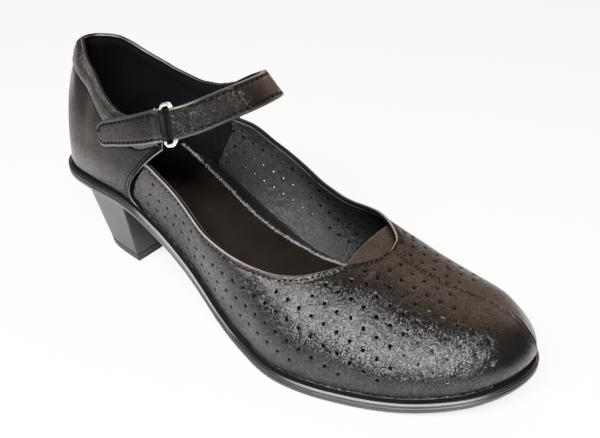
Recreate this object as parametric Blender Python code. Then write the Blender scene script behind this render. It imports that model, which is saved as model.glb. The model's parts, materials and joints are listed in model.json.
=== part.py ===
"""Right-foot Mary Jane pump with a block heel: one hollow upper on a heeled sole.

Frame: metres, toe along +X, inner (medial) side +Y, up +Z, floor at Z = 0.
"""
import math

import bmesh
import bpy
import numpy as np

# ---------------------------------------------------------------- driving sizes (mm)
MM = 0.001
GAP = 0.3
FOOT_GAP = 0.5
WALL = 1.5
QUARTER_STEP = 0.8
BAND_STEP = 0.5
SOLE_OUT = 2.6
SOLE_THICK = 4.6
INSOLE_THICK = 2.4
INSOLE_IN = 1.0
TOE_PIVOT = 222.0
HEEL_PIVOT = 28.0
THROAT_X = 178.0
HEEL_LIFT = 5.0
STRAP_WIDE = 14.0
STRAP_THICK = 2.2
RING_WIRE = 1.1
RING_LONG = 16.6
RING_SHORT = 7.0

# Feather line in plan: x from the heel back, y outwards from the centre line.
LATERAL_LINE = [
    (0.0, 0.0), (3.2, -13.0), (14.0, -22.0), (32.0, -26.5), (60.0, -29.5), (95.0, -33.0),
    (128.0, -42.0), (156.0, -49.0), (185.0, -45.0), (210.0, -36.8), (230.0, -23.5), (239.8, -8.5),
]
MEDIAL_LINE = [
    (0.0, 0.0), (3.2, 13.0), (14.0, 22.5), (32.0, 27.5), (60.0, 28.0), (95.0, 27.5),
    (128.0, 31.5), (156.0, 38.0), (178.0, 41.0), (200.0, 38.0), (222.0, 28.6), (236.4, 15.5),
]
TIP = (241.6, 4.0)

# Sole: x, height of its upper side.
SOLE_TOP = [
    (-5, 48.2), (20, 47.4), (45, 46.6), (60, 44.0), (75, 37.6), (90, 28.7), (105, 19.5),
    (118, 12.0), (132, 6.8), (150, 4.6), (172, 4.6), (186, 5.2), (205, 7.0), (225, 10.4), (244, 15.0),
]
# Collar edge of the quarters from the back seam to the ring end: x, height.
LATERAL_COLLAR = [
    (0, 107.0), (3, 106.8), (10, 106.0), (18, 104.0), (28, 100.4), (35, 96.6), (42, 92.6),
    (50, 89.2), (58, 87.4), (65, 87.6), (72, 90.4), (79.2, 94.4),
]
MEDIAL_COLLAR = [
    (0, 107.0), (3, 106.8), (10, 106.0), (18, 103.6), (28, 99.2), (35, 94.8), (42, 90.8),
    (50, 87.6), (58, 85.6), (65, 85.6), (72, 87.4), (78, 90.2), (84, 93.6),
]
# Front edge of the quarters from the sole up to the ring end: x, height.
LATERAL_FRONT = [(59, 44.9), (57.4, 49), (57.6, 53), (60.5, 58.4), (67, 65.2), (76.0, 72.8), (82.0, 77.8)]
MEDIAL_FRONT = [(59, 44.9), (57.4, 49), (57.6, 54), (60.5, 61.5), (66, 69.4), (76.0, 76.2), (87.6, 81.4)]
# Collar band depth below the edge: x, depth.
BAND = [(0, 9.5), (28, 9.0), (46, 11.0), (84, 13.5)]
# Top edge of the vamp from the quarter to the centre of the throat: x, height.
LATERAL_TOP = [
    (71.4, 69.0), (82, 65.2), (96, 58.6), (112, 49.4), (125, 44.6), (136, 41.2), (146, 40.0),
    (154, 40.6), (162, 42.2), (170, 43.8), (178, 44.6),
]
MEDIAL_TOP = [
    (66, 69.4), (80, 67.0), (96, 57.8), (112, 48.4), (126, 43.0), (138, 41.6), (150, 43.4),
    (160, 45.2), (168, 46.0), (178, 44.6),
]
# Wall of each side: x, height where the section would close, roundness, outward belly.
LATERAL_WALL = [
    (0, 118, 2.6, 0.0), (3, 117, 2.15, 0.0), (14, 117, 2.0, 0.0), (28, 117, 2.0, 0.2),
    (40, 118, 2.3, 0.8),
    (60, 122, 2.9, 1.6), (88, 126, 2.6, 3.0), (106, 110, 2.7, 3.8), (122, 86, 2.5, 2.6),
    (138, 60, 2.3, 1.4), (150, 50, 2.3, 1.2), (162, 46, 2.3, 1.3), (170, 45, 2.3, 1.4),
    (178, 44.6, 2.3, 1.5), (190, 39.8, 2.3, 1.5), (205, 36.2, 2.35, 1.4), (222, 34.4, 2.4, 1.2),
]
MEDIAL_WALL = [
    (0, 118, 2.6, 0.0), (3, 117, 2.15, 0.0), (14, 117, 2.0, 0.0), (28, 117, 2.0, 0.2),
    (40, 118, 2.3, 0.8),
    (60, 122, 2.8, 3.0), (88, 126, 2.4, 10.0), (106, 115, 2.6, 12.0), (122, 96, 2.6, 9.0),
    (138, 76, 2.4, 5.0), (150, 64, 2.3, 2.5), (162, 53, 2.3, 1.4), (170, 48.4, 2.3, 1.4),
    (178, 44.6, 2.3, 1.5), (190, 39.8, 2.3, 1.5), (205, 36.2, 2.35, 1.2), (222, 34.4, 2.4, 0.8),
]
# Centre line of the crown in plan: x, y.
SPINE = [(28, 0.5), (100, 0.0), (160, 1.0), (178, 2.0), (222, 4.0)]

def smooth(x, table, col):
    """Monotone cubic through one column of a table whose first column is x."""
    pts = np.array([(row[0], row[col]) for row in table], float)
    px, py = pts[:, 0], pts[:, 1]
    h = np.diff(px)
    d = np.diff(py) / h
    m = np.zeros(len(px))
    m[0], m[-1] = d[0], d[-1]
    for i in range(1, len(px) - 1):
        if d[i - 1] * d[i] > 0:
            w1, w2 = 2 * h[i] + h[i - 1], h[i] + 2 * h[i - 1]
            m[i] = (w1 + w2) / (w1 / d[i - 1] + w2 / d[i])
    x = np.clip(np.asarray(x, float), px[0], px[-1])
    k = np.clip(np.searchsorted(px, x, side="right") - 1, 0, len(px) - 2)
    t = (x - px[k]) / h[k]
    a = (1 + 2 * t) * (1 - t) ** 2
    b = t * (1 - t) ** 2
    c = t * t * (3 - 2 * t)
    e = t * t * (t - 1)
    return a * py[k] + b * h[k] * m[k] + c * py[k + 1] + e * h[k] * m[k + 1]


def blend(a, b, ta, tb, t):
    return ((tb - t) * a + (t - ta) * b) / (tb - ta)


def closed_spline(points, per):
    """Centripetal Catmull-Rom through a closed ring of points."""
    pts = np.array(points, float)
    n = len(pts)
    out = []
    for i in range(n):
        p = [pts[(i + k) % n] for k in (-1, 0, 1, 2)]
        t = [0.0]
        for k in range(3):
            t.append(t[-1] + float(np.linalg.norm(p[k + 1] - p[k])) ** 0.5)
        for u in np.linspace(t[1], t[2], per, endpoint=False):
            a = [blend(p[k], p[k + 1], t[k], t[k + 1], u) for k in range(3)]
            b = [blend(a[k], a[k + 1], t[k], t[k + 2], u) for k in range(2)]
            out.append(blend(b[0], b[1], t[1], t[2], u))
    return np.array(out)


def open_spline(points, count):
    """The same curve through an open row of points, at even shares of its length."""
    pts = np.array(points, float)
    ends = np.vstack([2 * pts[0] - pts[1], pts, 2 * pts[-1] - pts[-2]])
    dense = []
    for i in range(1, len(ends) - 2):
        p = ends[i - 1:i + 3]
        t = [0.0]
        for k in range(3):
            t.append(t[-1] + float(np.linalg.norm(p[k + 1] - p[k])) ** 0.5)
        for u in np.linspace(t[1], t[2], 16, endpoint=False):
            a = [blend(p[k], p[k + 1], t[k], t[k + 1], u) for k in range(3)]
            b = [blend(a[k], a[k + 1], t[k], t[k + 2], u) for k in range(2)]
            dense.append(blend(b[0], b[1], t[1], t[2], u))
    dense = np.vstack([dense, pts[-1:]])
    run = np.concatenate([[0.0], np.cumsum(np.linalg.norm(np.diff(dense, axis=0), axis=1))])
    want = np.linspace(0.0, run[-1], count)
    return np.stack([np.interp(want, run, dense[:, k]) for k in range(dense.shape[1])], -1)


def half_lines(per=24):
    """The feather line cut into its two halves, each from the heel back to the toe tip."""
    ring = closed_spline(LATERAL_LINE + [TIP] + MEDIAL_LINE[:0:-1], per)
    cut = len(LATERAL_LINE) * per
    lat = ring[:cut + 1]
    med = np.vstack([ring[cut:], ring[:1]])[::-1]
    res = {}
    for name, line in (("lateral", lat), ("medial", med)):
        run = np.concatenate([[0.0], np.cumsum(np.linalg.norm(np.diff(line, axis=0), axis=1))])
        res[name] = (run / run[-1], line, run[-1])
    return res


HALF = half_lines()
WALLS = {"lateral": LATERAL_WALL, "medial": MEDIAL_WALL}


def feather(side, t):
    run, line, _ = HALF[side]
    return np.stack([np.interp(t, run, line[:, 0]), np.interp(t, run, line[:, 1])], -1)


def station(side, x):
    """Girth share t where the feather line reaches x."""
    run, line, _ = HALF[side]
    return np.interp(x, np.maximum.accumulate(line[:, 0]), run)


def sole_z(x):
    return smooth(x, SOLE_TOP, 1)


def foot_z(side, t):
    """Lower edge of the upper, a gap above the sole."""
    return sole_z(feather(side, t)[..., 0]) + FOOT_GAP


def wall(side, t, z):
    """Outer face of the vamp leather at girth share t and height z."""
    t, z = np.broadcast_arrays(np.asarray(t, float), np.asarray(z, float))
    f = feather(side, t)
    xc = np.clip(f[..., 0], HEEL_PIVOT, TOE_PIVOT)
    zc, n, belly = (smooth(f[..., 0], WALLS[side], k) for k in (1, 2, 3))
    c = np.stack([xc, smooth(xc, SPINE, 1)], -1)
    zf = foot_z(side, t)
    rise = np.clip((z - zf) / (zc - zf), 0.0, 1.0)
    rho = (1.0 - rise ** n) ** (1.0 / n)
    d = f - c
    size = np.maximum(np.linalg.norm(d, axis=-1), 1e-6)
    out = belly * np.sin(np.pi * np.clip(rise / 0.7, 0.0, 1.0))
    xy = c + d * (rho + out / size)[..., None]
    tilt = smooth(TOE_PIVOT, WALLS[side], 1) - smooth(TOE_PIVOT - 1.0, WALLS[side], 1)
    ahead = np.where(f[..., 0] > TOE_PIVOT, (xy[..., 0] - TOE_PIVOT) * tilt, 0.0)
    return np.concatenate([xy, (zf + (zc - zf) * rise + ahead * rise)[..., None]], -1)


def height(side, t, share, top=None):
    """Height at a share (0..1) of the girth between the feather line and the top."""
    zc, n = (smooth(feather(side, t)[..., 0], WALLS[side], k) for k in (1, 2))
    zf = foot_z(side, t)
    top = zc if top is None else np.minimum(top, zc)
    end = np.arcsin(np.clip(((top - zf) / (zc - zf)), 0.0, 1.0) ** (n / 2.0))
    return zf + (zc - zf) * np.sin(end * share) ** (2.0 / n)
# ---------------------------------------------------------------- mesh helpers
BUILT = []


def clear_scene():
    for obj in list(bpy.data.objects):
        bpy.data.objects.remove(obj, do_unlink=True)


def material(name, color, rough, metal=0.0):
    mat = bpy.data.materials.new(name)
    mat.use_nodes = True
    bsdf = mat.node_tree.nodes["Principled BSDF"]
    bsdf.inputs["Base Color"].default_value = (*color, 1.0)
    bsdf.inputs["Roughness"].default_value = rough
    bsdf.inputs["Metallic"].default_value = metal
    mat.diffuse_color = (*color, 1.0)
    return mat


def solid(name, verts, faces, mat, smooth_shade=True, keep=True):
    """One closed object from points in mm."""
    mesh = bpy.data.meshes.new(name)
    mesh.from_pydata([tuple(float(c) * MM for c in v) for v in verts], [], faces)
    bm = bmesh.new()
    bm.from_mesh(mesh)
    bmesh.ops.remove_doubles(bm, verts=bm.verts, dist=1e-7)
    bmesh.ops.recalc_face_normals(bm, faces=bm.faces)
    bmesh.ops.triangulate(bm, faces=[f for f in bm.faces if len(f.verts) > 3])
    if bm.calc_volume(signed=True) < 0:
        bmesh.ops.reverse_faces(bm, faces=bm.faces)
    bm.to_mesh(mesh)
    bm.free()
    mesh.materials.append(mat)
    for poly in mesh.polygons:
        poly.use_smooth = smooth_shade
    obj = bpy.data.objects.new(name, mesh)
    bpy.context.scene.collection.objects.link(obj)
    if keep:
        BUILT.append(obj)
    return obj


def boolean(obj, cutter, operation):
    mod = obj.modifiers.new("join", "BOOLEAN")
    mod.operation = operation
    mod.solver = "EXACT"
    mod.object = cutter
    deps = bpy.context.evaluated_depsgraph_get()
    mesh = bpy.data.meshes.new_from_object(obj.evaluated_get(deps))
    obj.modifiers.clear()
    old = obj.data
    obj.data = mesh
    bm = bmesh.new()
    bm.from_mesh(mesh)
    bmesh.ops.triangulate(bm, faces=bm.faces)
    bmesh.ops.remove_doubles(bm, verts=bm.verts, dist=2e-6)
    bmesh.ops.dissolve_degenerate(bm, dist=1e-6, edges=bm.edges)
    bmesh.ops.triangulate(bm, faces=bm.faces)
    bm.to_mesh(mesh)
    bm.free()
    bpy.data.meshes.remove(old)
    bpy.data.objects.remove(cutter, do_unlink=True)


def unit(v):
    v = np.asarray(v, float)
    return v / np.linalg.norm(v)


def rings(sections):
    """Faces joining equal rings of vertices, closed by end caps."""
    n = len(sections[0])
    verts = [p for ring in sections for p in ring]
    faces = []
    for i in range(len(sections) - 1):
        for j in range(n):
            k = (j + 1) % n
            faces.append((i * n + j, i * n + k, (i + 1) * n + k, (i + 1) * n + j))
    faces.append(tuple(range(n))[::-1])
    last = (len(sections) - 1) * n
    faces.append(tuple(range(last, last + n)))
    return verts, faces


# ---------------------------------------------------------------- upper
COUNTER_COLS = 15
LOW_ROWS = 7
MID_ROWS = 2
BAND_ROWS = 4
VAMP_X = [75.5, 80, 85, 90, 96, 102, 108, 114, 120, 126, 132, 138, 144, 150, 156, 161, 166, 170, 174, 178]
CROWN_X = [184, 190, 197, 204, 210, 216, 222]
TOE_SHARES = [0.2, 0.4, 0.6, 0.8]
FRONT = {"lateral": LATERAL_FRONT, "medial": MEDIAL_FRONT}
COLLAR = {"lateral": LATERAL_COLLAR, "medial": MEDIAL_COLLAR}
TOP = {"lateral": LATERAL_TOP, "medial": MEDIAL_TOP}


def front_curve(side, count=120):
    """Quarter front edge as dense rows of (x, height)."""
    return open_spline(FRONT[side], count)


def front_rows(side):
    """Points (x, height) of the quarter front edge at every row up to the ring end."""
    curve = front_curve(side)
    x0, z0 = TOP[side][0]
    meet = int(np.argmin(np.hypot(curve[:, 0] - x0, curve[:, 1] - z0)))
    run = np.concatenate([[0], np.cumsum(np.linalg.norm(np.diff(curve, axis=0), axis=1))])
    shares = np.concatenate([
        np.linspace(0, run[meet], LOW_ROWS + 1),
        np.linspace(run[meet], run[-1], MID_ROWS + 1)[1:],
    ])
    pts = np.stack([np.interp(shares, run, curve[:, k]) for k in (0, 1)], -1)
    tip = COLLAR[side][-1]
    for k in range(1, BAND_ROWS + 1):
        f = k / BAND_ROWS
        pts = np.vstack([pts, (1 - f) * curve[-1] + f * np.array(tip, float)])
    return pts


def lift(side, t, share_of_height, top):
    zf = foot_z(side, t)
    return zf + (top - zf) * share_of_height


def quarter_grid(side):
    """Outer points of one quarter: columns from the back seam, rows from the sole."""
    right = front_rows(side)
    rows = len(right)
    band_row = LOW_ROWS + MID_ROWS
    t_foot = station(side, right[0, 0])
    tip_t = station(side, COLLAR[side][-1][0])
    grid = []
    low = np.linspace(0, 1, band_row + 1)
    for c in range(COUNTER_COLS + 1):
        f = c / COUNTER_COLS
        column = []
        t_top = tip_t * f
        x_top = float(feather(side, t_top)[0])
        top = float(smooth(x_top, COLLAR[side], 1))
        depth = float(smooth(x_top, BAND, 1))
        for r in range(rows):
            t_right = station(side, right[r, 0])
            if r <= band_row:
                g = low[r]
                t_here = t_right * f
                end_t, end_z = t_top, top - depth
                z_edge = end_z
                zf = float(foot_z(side, t_here))
                z_free = zf + (z_edge - zf) * g
                zf_right = float(foot_z(side, t_right))
                z_right = right[r, 1]
                z_lin = zf_right + (right[band_row, 1] - zf_right) * g
                z = z_free + (z_right - z_lin) * f ** 3
            else:
                g = (r - band_row) / BAND_ROWS
                t_here = t_right * f
                edge = right[band_row, 1] + (right[-1, 1] - right[band_row, 1]) * g
                z = top - depth * (1 - g)
                z = z + (right[r, 1] - edge) * f ** 3
            if c == COUNTER_COLS:
                t_here, z = t_right, right[r, 1]
            if r == 0:
                z = float(foot_z(side, t_here))
            column.append((t_here, z))
        grid.append(column)
    return grid


def vamp_grid(side, right):
    """Outer points of one vamp half ahead of the quarter edge."""
    cols = []
    base = right[:LOW_ROWS + 1]
    shares = []
    t0 = np.array([float(station(side, x)) for x, _ in base])
    zf0 = np.array([float(foot_z(side, t)) for t in t0])
    top0 = base[-1, 1]
    for k in range(LOW_ROWS + 1):
        shares.append((base[k, 1] - zf0[k]) / (top0 - zf0[k]))
    shares[0], shares[-1] = 0.0, 1.0
    even = np.linspace(0, 1, LOW_ROWS + 1) ** 1.25
    for i, x in enumerate(VAMP_X):
        fade = max(0.0, 1.0 - (i + 1) / 8.0) ** 1.2
        t_i = float(station(side, x))
        column = []
        for k in range(LOW_ROWS + 1):
            t = t_i + (t0[k] - t0[-1]) * fade
            xt = float(feather(side, t)[0])
            top = float(smooth(xt, TOP[side], 1)) if x < THROAT_X else None
            z_a = float(height(side, t, even[k], top))
            if fade > 0:
                z_b = lift(side, t, shares[k], top)
                z = float(z_a + (z_b - z_a) * fade)
            else:
                z = z_a
            column.append((t, z))
        cols.append(column)
    for x in CROWN_X:
        t = float(station(side, x))
        cols.append([(t, float(height(side, t, e))) for e in even])
    t_a, t_b = float(station(side, CROWN_X[-1])), 1.0
    for f in TOE_SHARES:
        t = t_a + (t_b - t_a) * f
        cols.append([(t, float(height(side, t, e))) for e in even])
    return cols


def build_upper(mat):
    points, keys = [], {}

    def base(key, p):
        if key not in keys:
            keys[key] = len(points)
            points.append(np.asarray(p, float))
        return keys[key]

    quads = {"counter": [], "band": [], "vamp": []}
    seam_front, seam_band = [], []
    band_row = LOW_ROWS + MID_ROWS
    for side in ("lateral", "medial"):
        flip = side == "medial"
        grid = quarter_grid(side)
        ids = []
        for c, column in enumerate(grid):
            line = []
            for r, (t, z) in enumerate(column):
                key = ("q", "c" if c == 0 else side, c, r)
                line.append(base(key, wall(side, t, z)))
            ids.append(line)
        for c in range(COUNTER_COLS):
            for r in range(band_row + BAND_ROWS):
                quad = (ids[c][r], ids[c + 1][r], ids[c + 1][r + 1], ids[c][r + 1])
                quads["counter" if r < band_row else "band"].append(quad[::-1] if flip else quad)
            seam_band.append((ids[c][band_row], ids[c + 1][band_row], flip))
        edge = ids[-1]
        for r in range(LOW_ROWS):
            seam_front.append((edge[r], edge[r + 1], flip))
        cols = vamp_grid(side, front_rows(side))
        line = [edge[:LOW_ROWS + 1]]
        first_crown = len(VAMP_X) - 1
        pole = len(VAMP_X) + len(CROWN_X) - 1
        for i, column in enumerate(cols):
            row = []
            for k, (t, z) in enumerate(column):
                key = ("v", side, i, k)
                if k == LOW_ROWS and i >= first_crown:
                    key = ("spine", min(i, pole))
                row.append(base(key, wall(side, t, z)))
            line.append(row)
        tip = [base(("tip", k), wall(side, 1.0, float(height(side, 1.0, (k / LOW_ROWS) ** 1.25))))
               if k < LOW_ROWS else keys[("spine", pole)] for k in range(LOW_ROWS + 1)]
        line.append(tip)
        for i in range(len(line) - 1):
            for k in range(LOW_ROWS):
                quad = (line[i][k], line[i + 1][k], line[i + 1][k + 1], line[i][k + 1])
                quads["vamp"].append(quad[::-1] if flip else quad)
    pts = np.array(points)
    normal = np.zeros_like(pts)
    for group in quads.values():
        for q in group:
            p = pts[list(q)]
            n = np.cross(p[2] - p[0], p[3] - p[1])
            for k in set(q):
                normal[k] += n
    normal /= np.linalg.norm(normal, axis=1)[:, None]
    mid = pts.mean(0)
    if (normal * (pts - mid)).sum() < 0:
        normal = -normal
    feet = {i for key, i in keys.items() if (key[0] in ("q", "v") and key[3] == 0) or key == ("tip", 0)}

    verts, outer, inner, faces = [], {}, {}, []

    def put(store, key, k, off):
        if key not in store:
            store[key] = len(verts)
            p = pts[k] + normal[k] * off
            if k in feet:
                flat = normal[k] * (1, 1, 0)
                p = pts[k] + flat / max(np.linalg.norm(flat), 1e-6) * off
                p[2] = float(sole_z(p[0])) + FOOT_GAP
            verts.append(p)
        return store[key]

    steps = {"counter": QUARTER_STEP, "band": QUARTER_STEP + BAND_STEP, "vamp": 0.0}
    outside = []
    for group, off in steps.items():
        for q in quads[group]:
            outside.append([(group, k) for k in q])
    for a, b, flip in seam_front:
        quad = [("counter", a), ("vamp", a), ("vamp", b), ("counter", b)]
        outside.append(quad[::-1] if flip else quad)
    for a, b, flip in seam_band:
        quad = [("counter", a), ("counter", b), ("band", b), ("band", a)]
        outside.append(quad[::-1] if flip else quad)
    count = {}
    for quad in outside:
        ring = [q for i, q in enumerate(quad) if q != quad[i - 1]]
        faces.append(tuple(put(outer, q, q[1], steps[q[0]]) for q in ring))
        for i, a in enumerate(ring):
            b = ring[(i + 1) % len(ring)]
            count[(a, b)] = count.get((a, b), 0) + 1
        back = []
        for q in reversed(ring):
            v = put(inner, q[1], q[1], -WALL)
            if v not in back:
                back.append(v)
        if len(back) >= 3:
            faces.append(tuple(back))
    for (a, b), _ in list(count.items()):
        if (b, a) in count:
            continue
        ring = [outer[b], outer[a], inner[a[1]], inner[b[1]]]
        ring = [v for i, v in enumerate(ring) if v != ring[i - 1]]
        faces.append(tuple(ring))
    return solid("upper", verts, faces, mat)


# ---------------------------------------------------------------- sole parts
LADDER_X = [
    1.2, 4, 9, 15, 22, 30, 38, 45, 51, 56, 60, 64, 68, 73, 78, 84, 90, 96, 102, 108, 114, 120, 126, 132,
    140, 150, 161, 172, 180, 188, 196, 204, 212, 219, 225, 230, 234.5, 237.6, 239.8, 241.1,
]


def outline_point(side, t, out):
    """Plan point a distance outside the feather line."""
    a, b = feather(side, max(t - 0.004, 0.0)), feather(side, min(t + 0.004, 1.0))
    d = unit(b - a)
    n = np.array([d[1], -d[0]]) if side == "lateral" else np.array([-d[1], d[0]])
    return feather(side, t) + n * out


def ladder(profile, xs, ends=True):
    """Rings of a plate: profile rows of (outset, height over the sole top) from top to bottom."""
    verts, index = [], {}

    def at(side, i, k):
        out, rise = profile[k]
        if i == 0:
            x0 = -out
            p = (x0, 0.0, float(sole_z(0.0)) + rise)
            key = ("back", k)
        elif i == len(xs) + 1:
            p2 = np.array(TIP) + np.array([1.0, 0.0]) * out
            p = (p2[0], p2[1], float(sole_z(TIP[0])) + rise)
            key = ("tip", k)
        else:
            x = xs[i - 1]
            q = outline_point(side, float(station(side, x)), out)
            p = (q[0], q[1], float(sole_z(q[0])) + rise)
            key = (side, i, k)
        if key not in index:
            index[key] = len(verts)
            verts.append(p)
        return index[key]

    faces = []
    last = len(xs) + 1
    for side in ("lateral", "medial"):
        for i in range(last):
            for k in range(len(profile) - 1):
                quad = [at(side, i, k), at(side, i + 1, k), at(side, i + 1, k + 1), at(side, i, k + 1)]
                faces.append(tuple(quad if side == "medial" else quad[::-1]))
    for k, up in ((0, True), (len(profile) - 1, False)):
        for i in range(last):
            quad = [at("lateral", i, k), at("lateral", i + 1, k), at("medial", i + 1, k), at("medial", i, k)]
            ring = []
            for v in quad:
                if v not in ring:
                    ring.append(v)
            faces.append(tuple(ring if up else ring[::-1]))
    return verts, faces


def build_outsole(mat):
    t = SOLE_THICK
    o = SOLE_OUT
    profile = [
        (0.9, 0.0), (o - 0.5, 0.0), (o - 0.1, -0.3), (o - 0.1, -1.1), (o - 0.7, -1.5),
        (o - 0.7, -1.8), (o, -2.2), (o, -t + 0.7), (o - 0.7, -t),
    ]
    return solid("outsole", *ladder(profile, LADDER_X), mat)


def build_insole(mat):
    lo = GAP
    hi = GAP + INSOLE_THICK
    inset = -(WALL + GAP + INSOLE_IN)
    profile = [(inset - 1.0, hi), (inset, hi - 0.5), (inset, lo + 0.3), (inset - 0.4, lo)]
    xs = [x for x in LADDER_X if 3 <= x <= 240]
    return solid("insole", *ladder(profile, xs), mat)


HEEL_FRONT_TOP = 54.0
HEEL_FRONT_BASE = 45.5
HEEL_BACK_BASE = 15.0
HEEL_HALF_BASE = 17.0
HEEL_INSET = 4.2


def heel_ring(level):
    """Heel outline at a level 0 (floor) to 1 (under the sole)."""
    xs = [0.6, 2.5, 6, 11, 18, 27, 36, 45, HEEL_FRONT_TOP]
    lat = [outline_point("lateral", float(station("lateral", x)), HEEL_INSET * (x / 54 - 1)) for x in xs]
    med = [outline_point("medial", float(station("medial", x)), HEEL_INSET * (x / 54 - 1)) for x in xs]
    back = np.array([HEEL_INSET, 0.0])
    ring = [back] + lat + [(lat[-1] + med[-1]) / 2] + med[::-1]
    out = []
    for x, y in ring:
        u = (x - HEEL_INSET) / (HEEL_FRONT_TOP - HEEL_INSET)
        xb = HEEL_BACK_BASE + (HEEL_FRONT_BASE - HEEL_BACK_BASE) * u
        yb = 0.5 + (y - 0.5) * HEEL_HALF_BASE / 28.6
        f = level
        fx = f ** 0.92
        out.append((xb + (x - xb) * fx, yb + (y - yb) * fx))
    return out


def build_heel(mat):
    sections = []
    for level in (1.0, 0.82, 0.64, 0.46, 0.3, 0.12):
        ring = []
        for x, y in heel_ring(level):
            top = float(sole_z(min(max(x, 0.0), 60.0))) - SOLE_THICK - GAP
            z = HEEL_LIFT + GAP + (top - HEEL_LIFT - GAP) * (level - 0.12) / 0.88
            ring.append((x, y, z))
        sections.append(ring)
    return solid("heel_block", *rings(sections), mat)


def build_lift(mat):
    sections = []
    for level, z in ((0.115, HEEL_LIFT), (0.06, 0.6), (0.045, 0.0)):
        sections.append([(x, y, z) for x, y in heel_ring(level)])
    return solid("heel_top_piece", *rings(sections), mat)


# ---------------------------------------------------------------- throat leaf
def vamp_height(x, y):
    """Outer height of the vamp over a plan point near the throat, bridged over the notch."""
    rows = []
    for side in ("lateral", "medial"):
        t = float(station(side, x))
        top = float(smooth(x, TOP[side], 1)) if x < THROAT_X else None
        pts = [wall(side, t, float(height(side, t, e, top))) for e in np.linspace(0.3, 1, 24)]
        rows += [(p[1], p[2]) for p in pts]
    rows.sort()
    ys, zs = np.array(rows).T
    return float(np.interp(y, ys, zs))


def build_leaf(mat):
    under = WALL + GAP + 0.4
    thick = 1.0
    sections = []
    for f in np.linspace(-1, 1, 13):
        y = 3.0 + 24.0 * f
        rear = 164.0 + 3.2 * f * f + 0.6 * f
        front = 190.0 - 12.0 * f * f
        ring = []
        xs = np.linspace(rear, front, 5)
        tops = []
        for x in xs:
            dy = (vamp_height(x, y + 1.5) - vamp_height(x, y - 1.5)) / 3.0
            dx = (vamp_height(x + 1.5, y) - vamp_height(x - 1.5, y)) / 3.0
            tops.append(vamp_height(x, y) - under * math.sqrt(1.0 + dx * dx + dy * dy))
        for x, z in zip(xs, tops):
            ring.append((x, y, z))
        for x, z in zip(xs[::-1], tops[::-1]):
            ring.append((x, y, z - thick))
        sections.append(ring)
    return solid("throat_insert", *rings(sections), mat)


# ---------------------------------------------------------------- strap, ring, tab
def axis_frame(z_dir, x_dir):
    u = unit(z_dir)
    e = unit(np.asarray(x_dir, float) - np.dot(x_dir, u) * u)
    return e, u, np.cross(e, u)


RING_E, RING_U, RING_N = axis_frame((-0.36, 0.27, 0.89), (0.94, -0.02, 0.37))
RING_BAR = 3.0
RING_LIFT = 2.4


def ring_centre():
    p = wall("lateral", float(station("lateral", 89.2)), 90.4)
    return p + RING_N * RING_LIFT


def ring_place(e, u, n):
    return ring_centre() + RING_E * e + RING_U * u + RING_N * n


def build_ring(mat):
    half = RING_LONG / 2
    corner = 2.0
    path = []
    for sx, sy, a0 in ((1, 1, 0), (-1, 1, 90), (-1, -1, 180), (1, -1, 270)):
        for k in range(5):
            a = math.radians(a0 + 90 * k / 4)
            path.append((sx * (RING_BAR - corner) + corner * math.cos(a),
                         sy * (half - corner) + corner * math.sin(a)))
    n = len(path)
    sections = []
    verts, faces = [], []
    sides = 10
    for i, (e, u) in enumerate(path):
        d = np.array(path[(i + 1) % n]) - np.array(path[i - 1])
        d = d / np.linalg.norm(d)
        side_dir = np.array([d[1], -d[0]])
        for k in range(sides):
            a = 2 * math.pi * k / sides
            r = RING_WIRE * 0.9
            off = side_dir * r * math.cos(a)
            verts.append(ring_place(e + off[0], u + off[1], r * math.sin(a)))
    for i in range(n):
        for k in range(sides):
            a, b = i * sides + k, i * sides + (k + 1) % sides
            c, d = ((i + 1) % n) * sides + (k + 1) % sides, ((i + 1) % n) * sides + k
            faces.append((a, b, c, d))
    return solid("ring", verts, faces, mat)


def tube(name, e0, radius, length, mat, count=18):
    """A rod along the ring bar direction."""
    sections = []
    for u in (-length / 2, length / 2):
        sections.append([ring_place(e0 + radius * math.cos(2 * math.pi * k / count), u,
                                    radius * math.sin(2 * math.pi * k / count)) for k in range(count)])
    return solid(name, *rings(sections), mat, keep=False)


LOOP_OUT = 2.5
LOOP_IN = 1.3
LOOP_WIDE = 13.2
STRAP_REAR = [(99, -23, 102.2), (103.5, -12, 104.2), (107, 0, 105.6), (107.5, 9.5, 105.8), (103, 17.5, 104.0),
              (94.6, 22.6, 99.8), (84.5, 25.75, 94.45)]
STRAP_FORE = [(105, -27, 90.4), (111.5, -16, 93.6), (115.8, -2, 95.4), (116.5, 9.5, 95.8), (112, 19.5, 93.4),
              (102.6, 26.0, 88.4), (88.25, 32.4, 82.2)]


def band_solid(name, rear, fore, thick, mat):
    """A strap from its two outer edges, both rows of points."""
    sections = []
    n = len(rear)
    for i in range(n):
        a, b = rear[i], fore[i]
        run = (rear[min(i + 1, n - 1)] + fore[min(i + 1, n - 1)]) - (rear[max(i - 1, 0)] + fore[max(i - 1, 0)])
        face = unit(np.cross(b - a, run))
        if np.dot(face, (a + b) / 2 - np.array([80.0, 0.0, 60.0])) < 0:
            face = -face
        e = unit(b - a) * 0.5
        sections.append([a + e, b - e, b - face * 0.6, b - face * (thick - 0.4),
                         b - e - face * thick, a + e - face * thick, a - face * (thick - 0.4), a - face * 0.6])
    return solid(name, *rings(sections), mat)


def build_strap(mat):
    top = 1.7
    starts = []
    for u in (LOOP_WIDE / 2, -LOOP_WIDE / 2):
        starts.append([ring_place(RING_BAR + 1.7, u, top), ring_place(RING_BAR + 5.0, u * 1.03, top)])
    rear = open_spline(starts[0] + list(STRAP_REAR), 30)
    fore = open_spline(starts[1] + list(STRAP_FORE), 30)
    obj = band_solid("strap", rear, fore, STRAP_THICK, mat)
    boolean(obj, tube("loop", RING_BAR, LOOP_OUT, LOOP_WIDE, mat), "UNION")
    boolean(obj, tube("bar", RING_BAR, LOOP_IN, LOOP_WIDE + 8, mat), "DIFFERENCE")
    return obj


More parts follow.
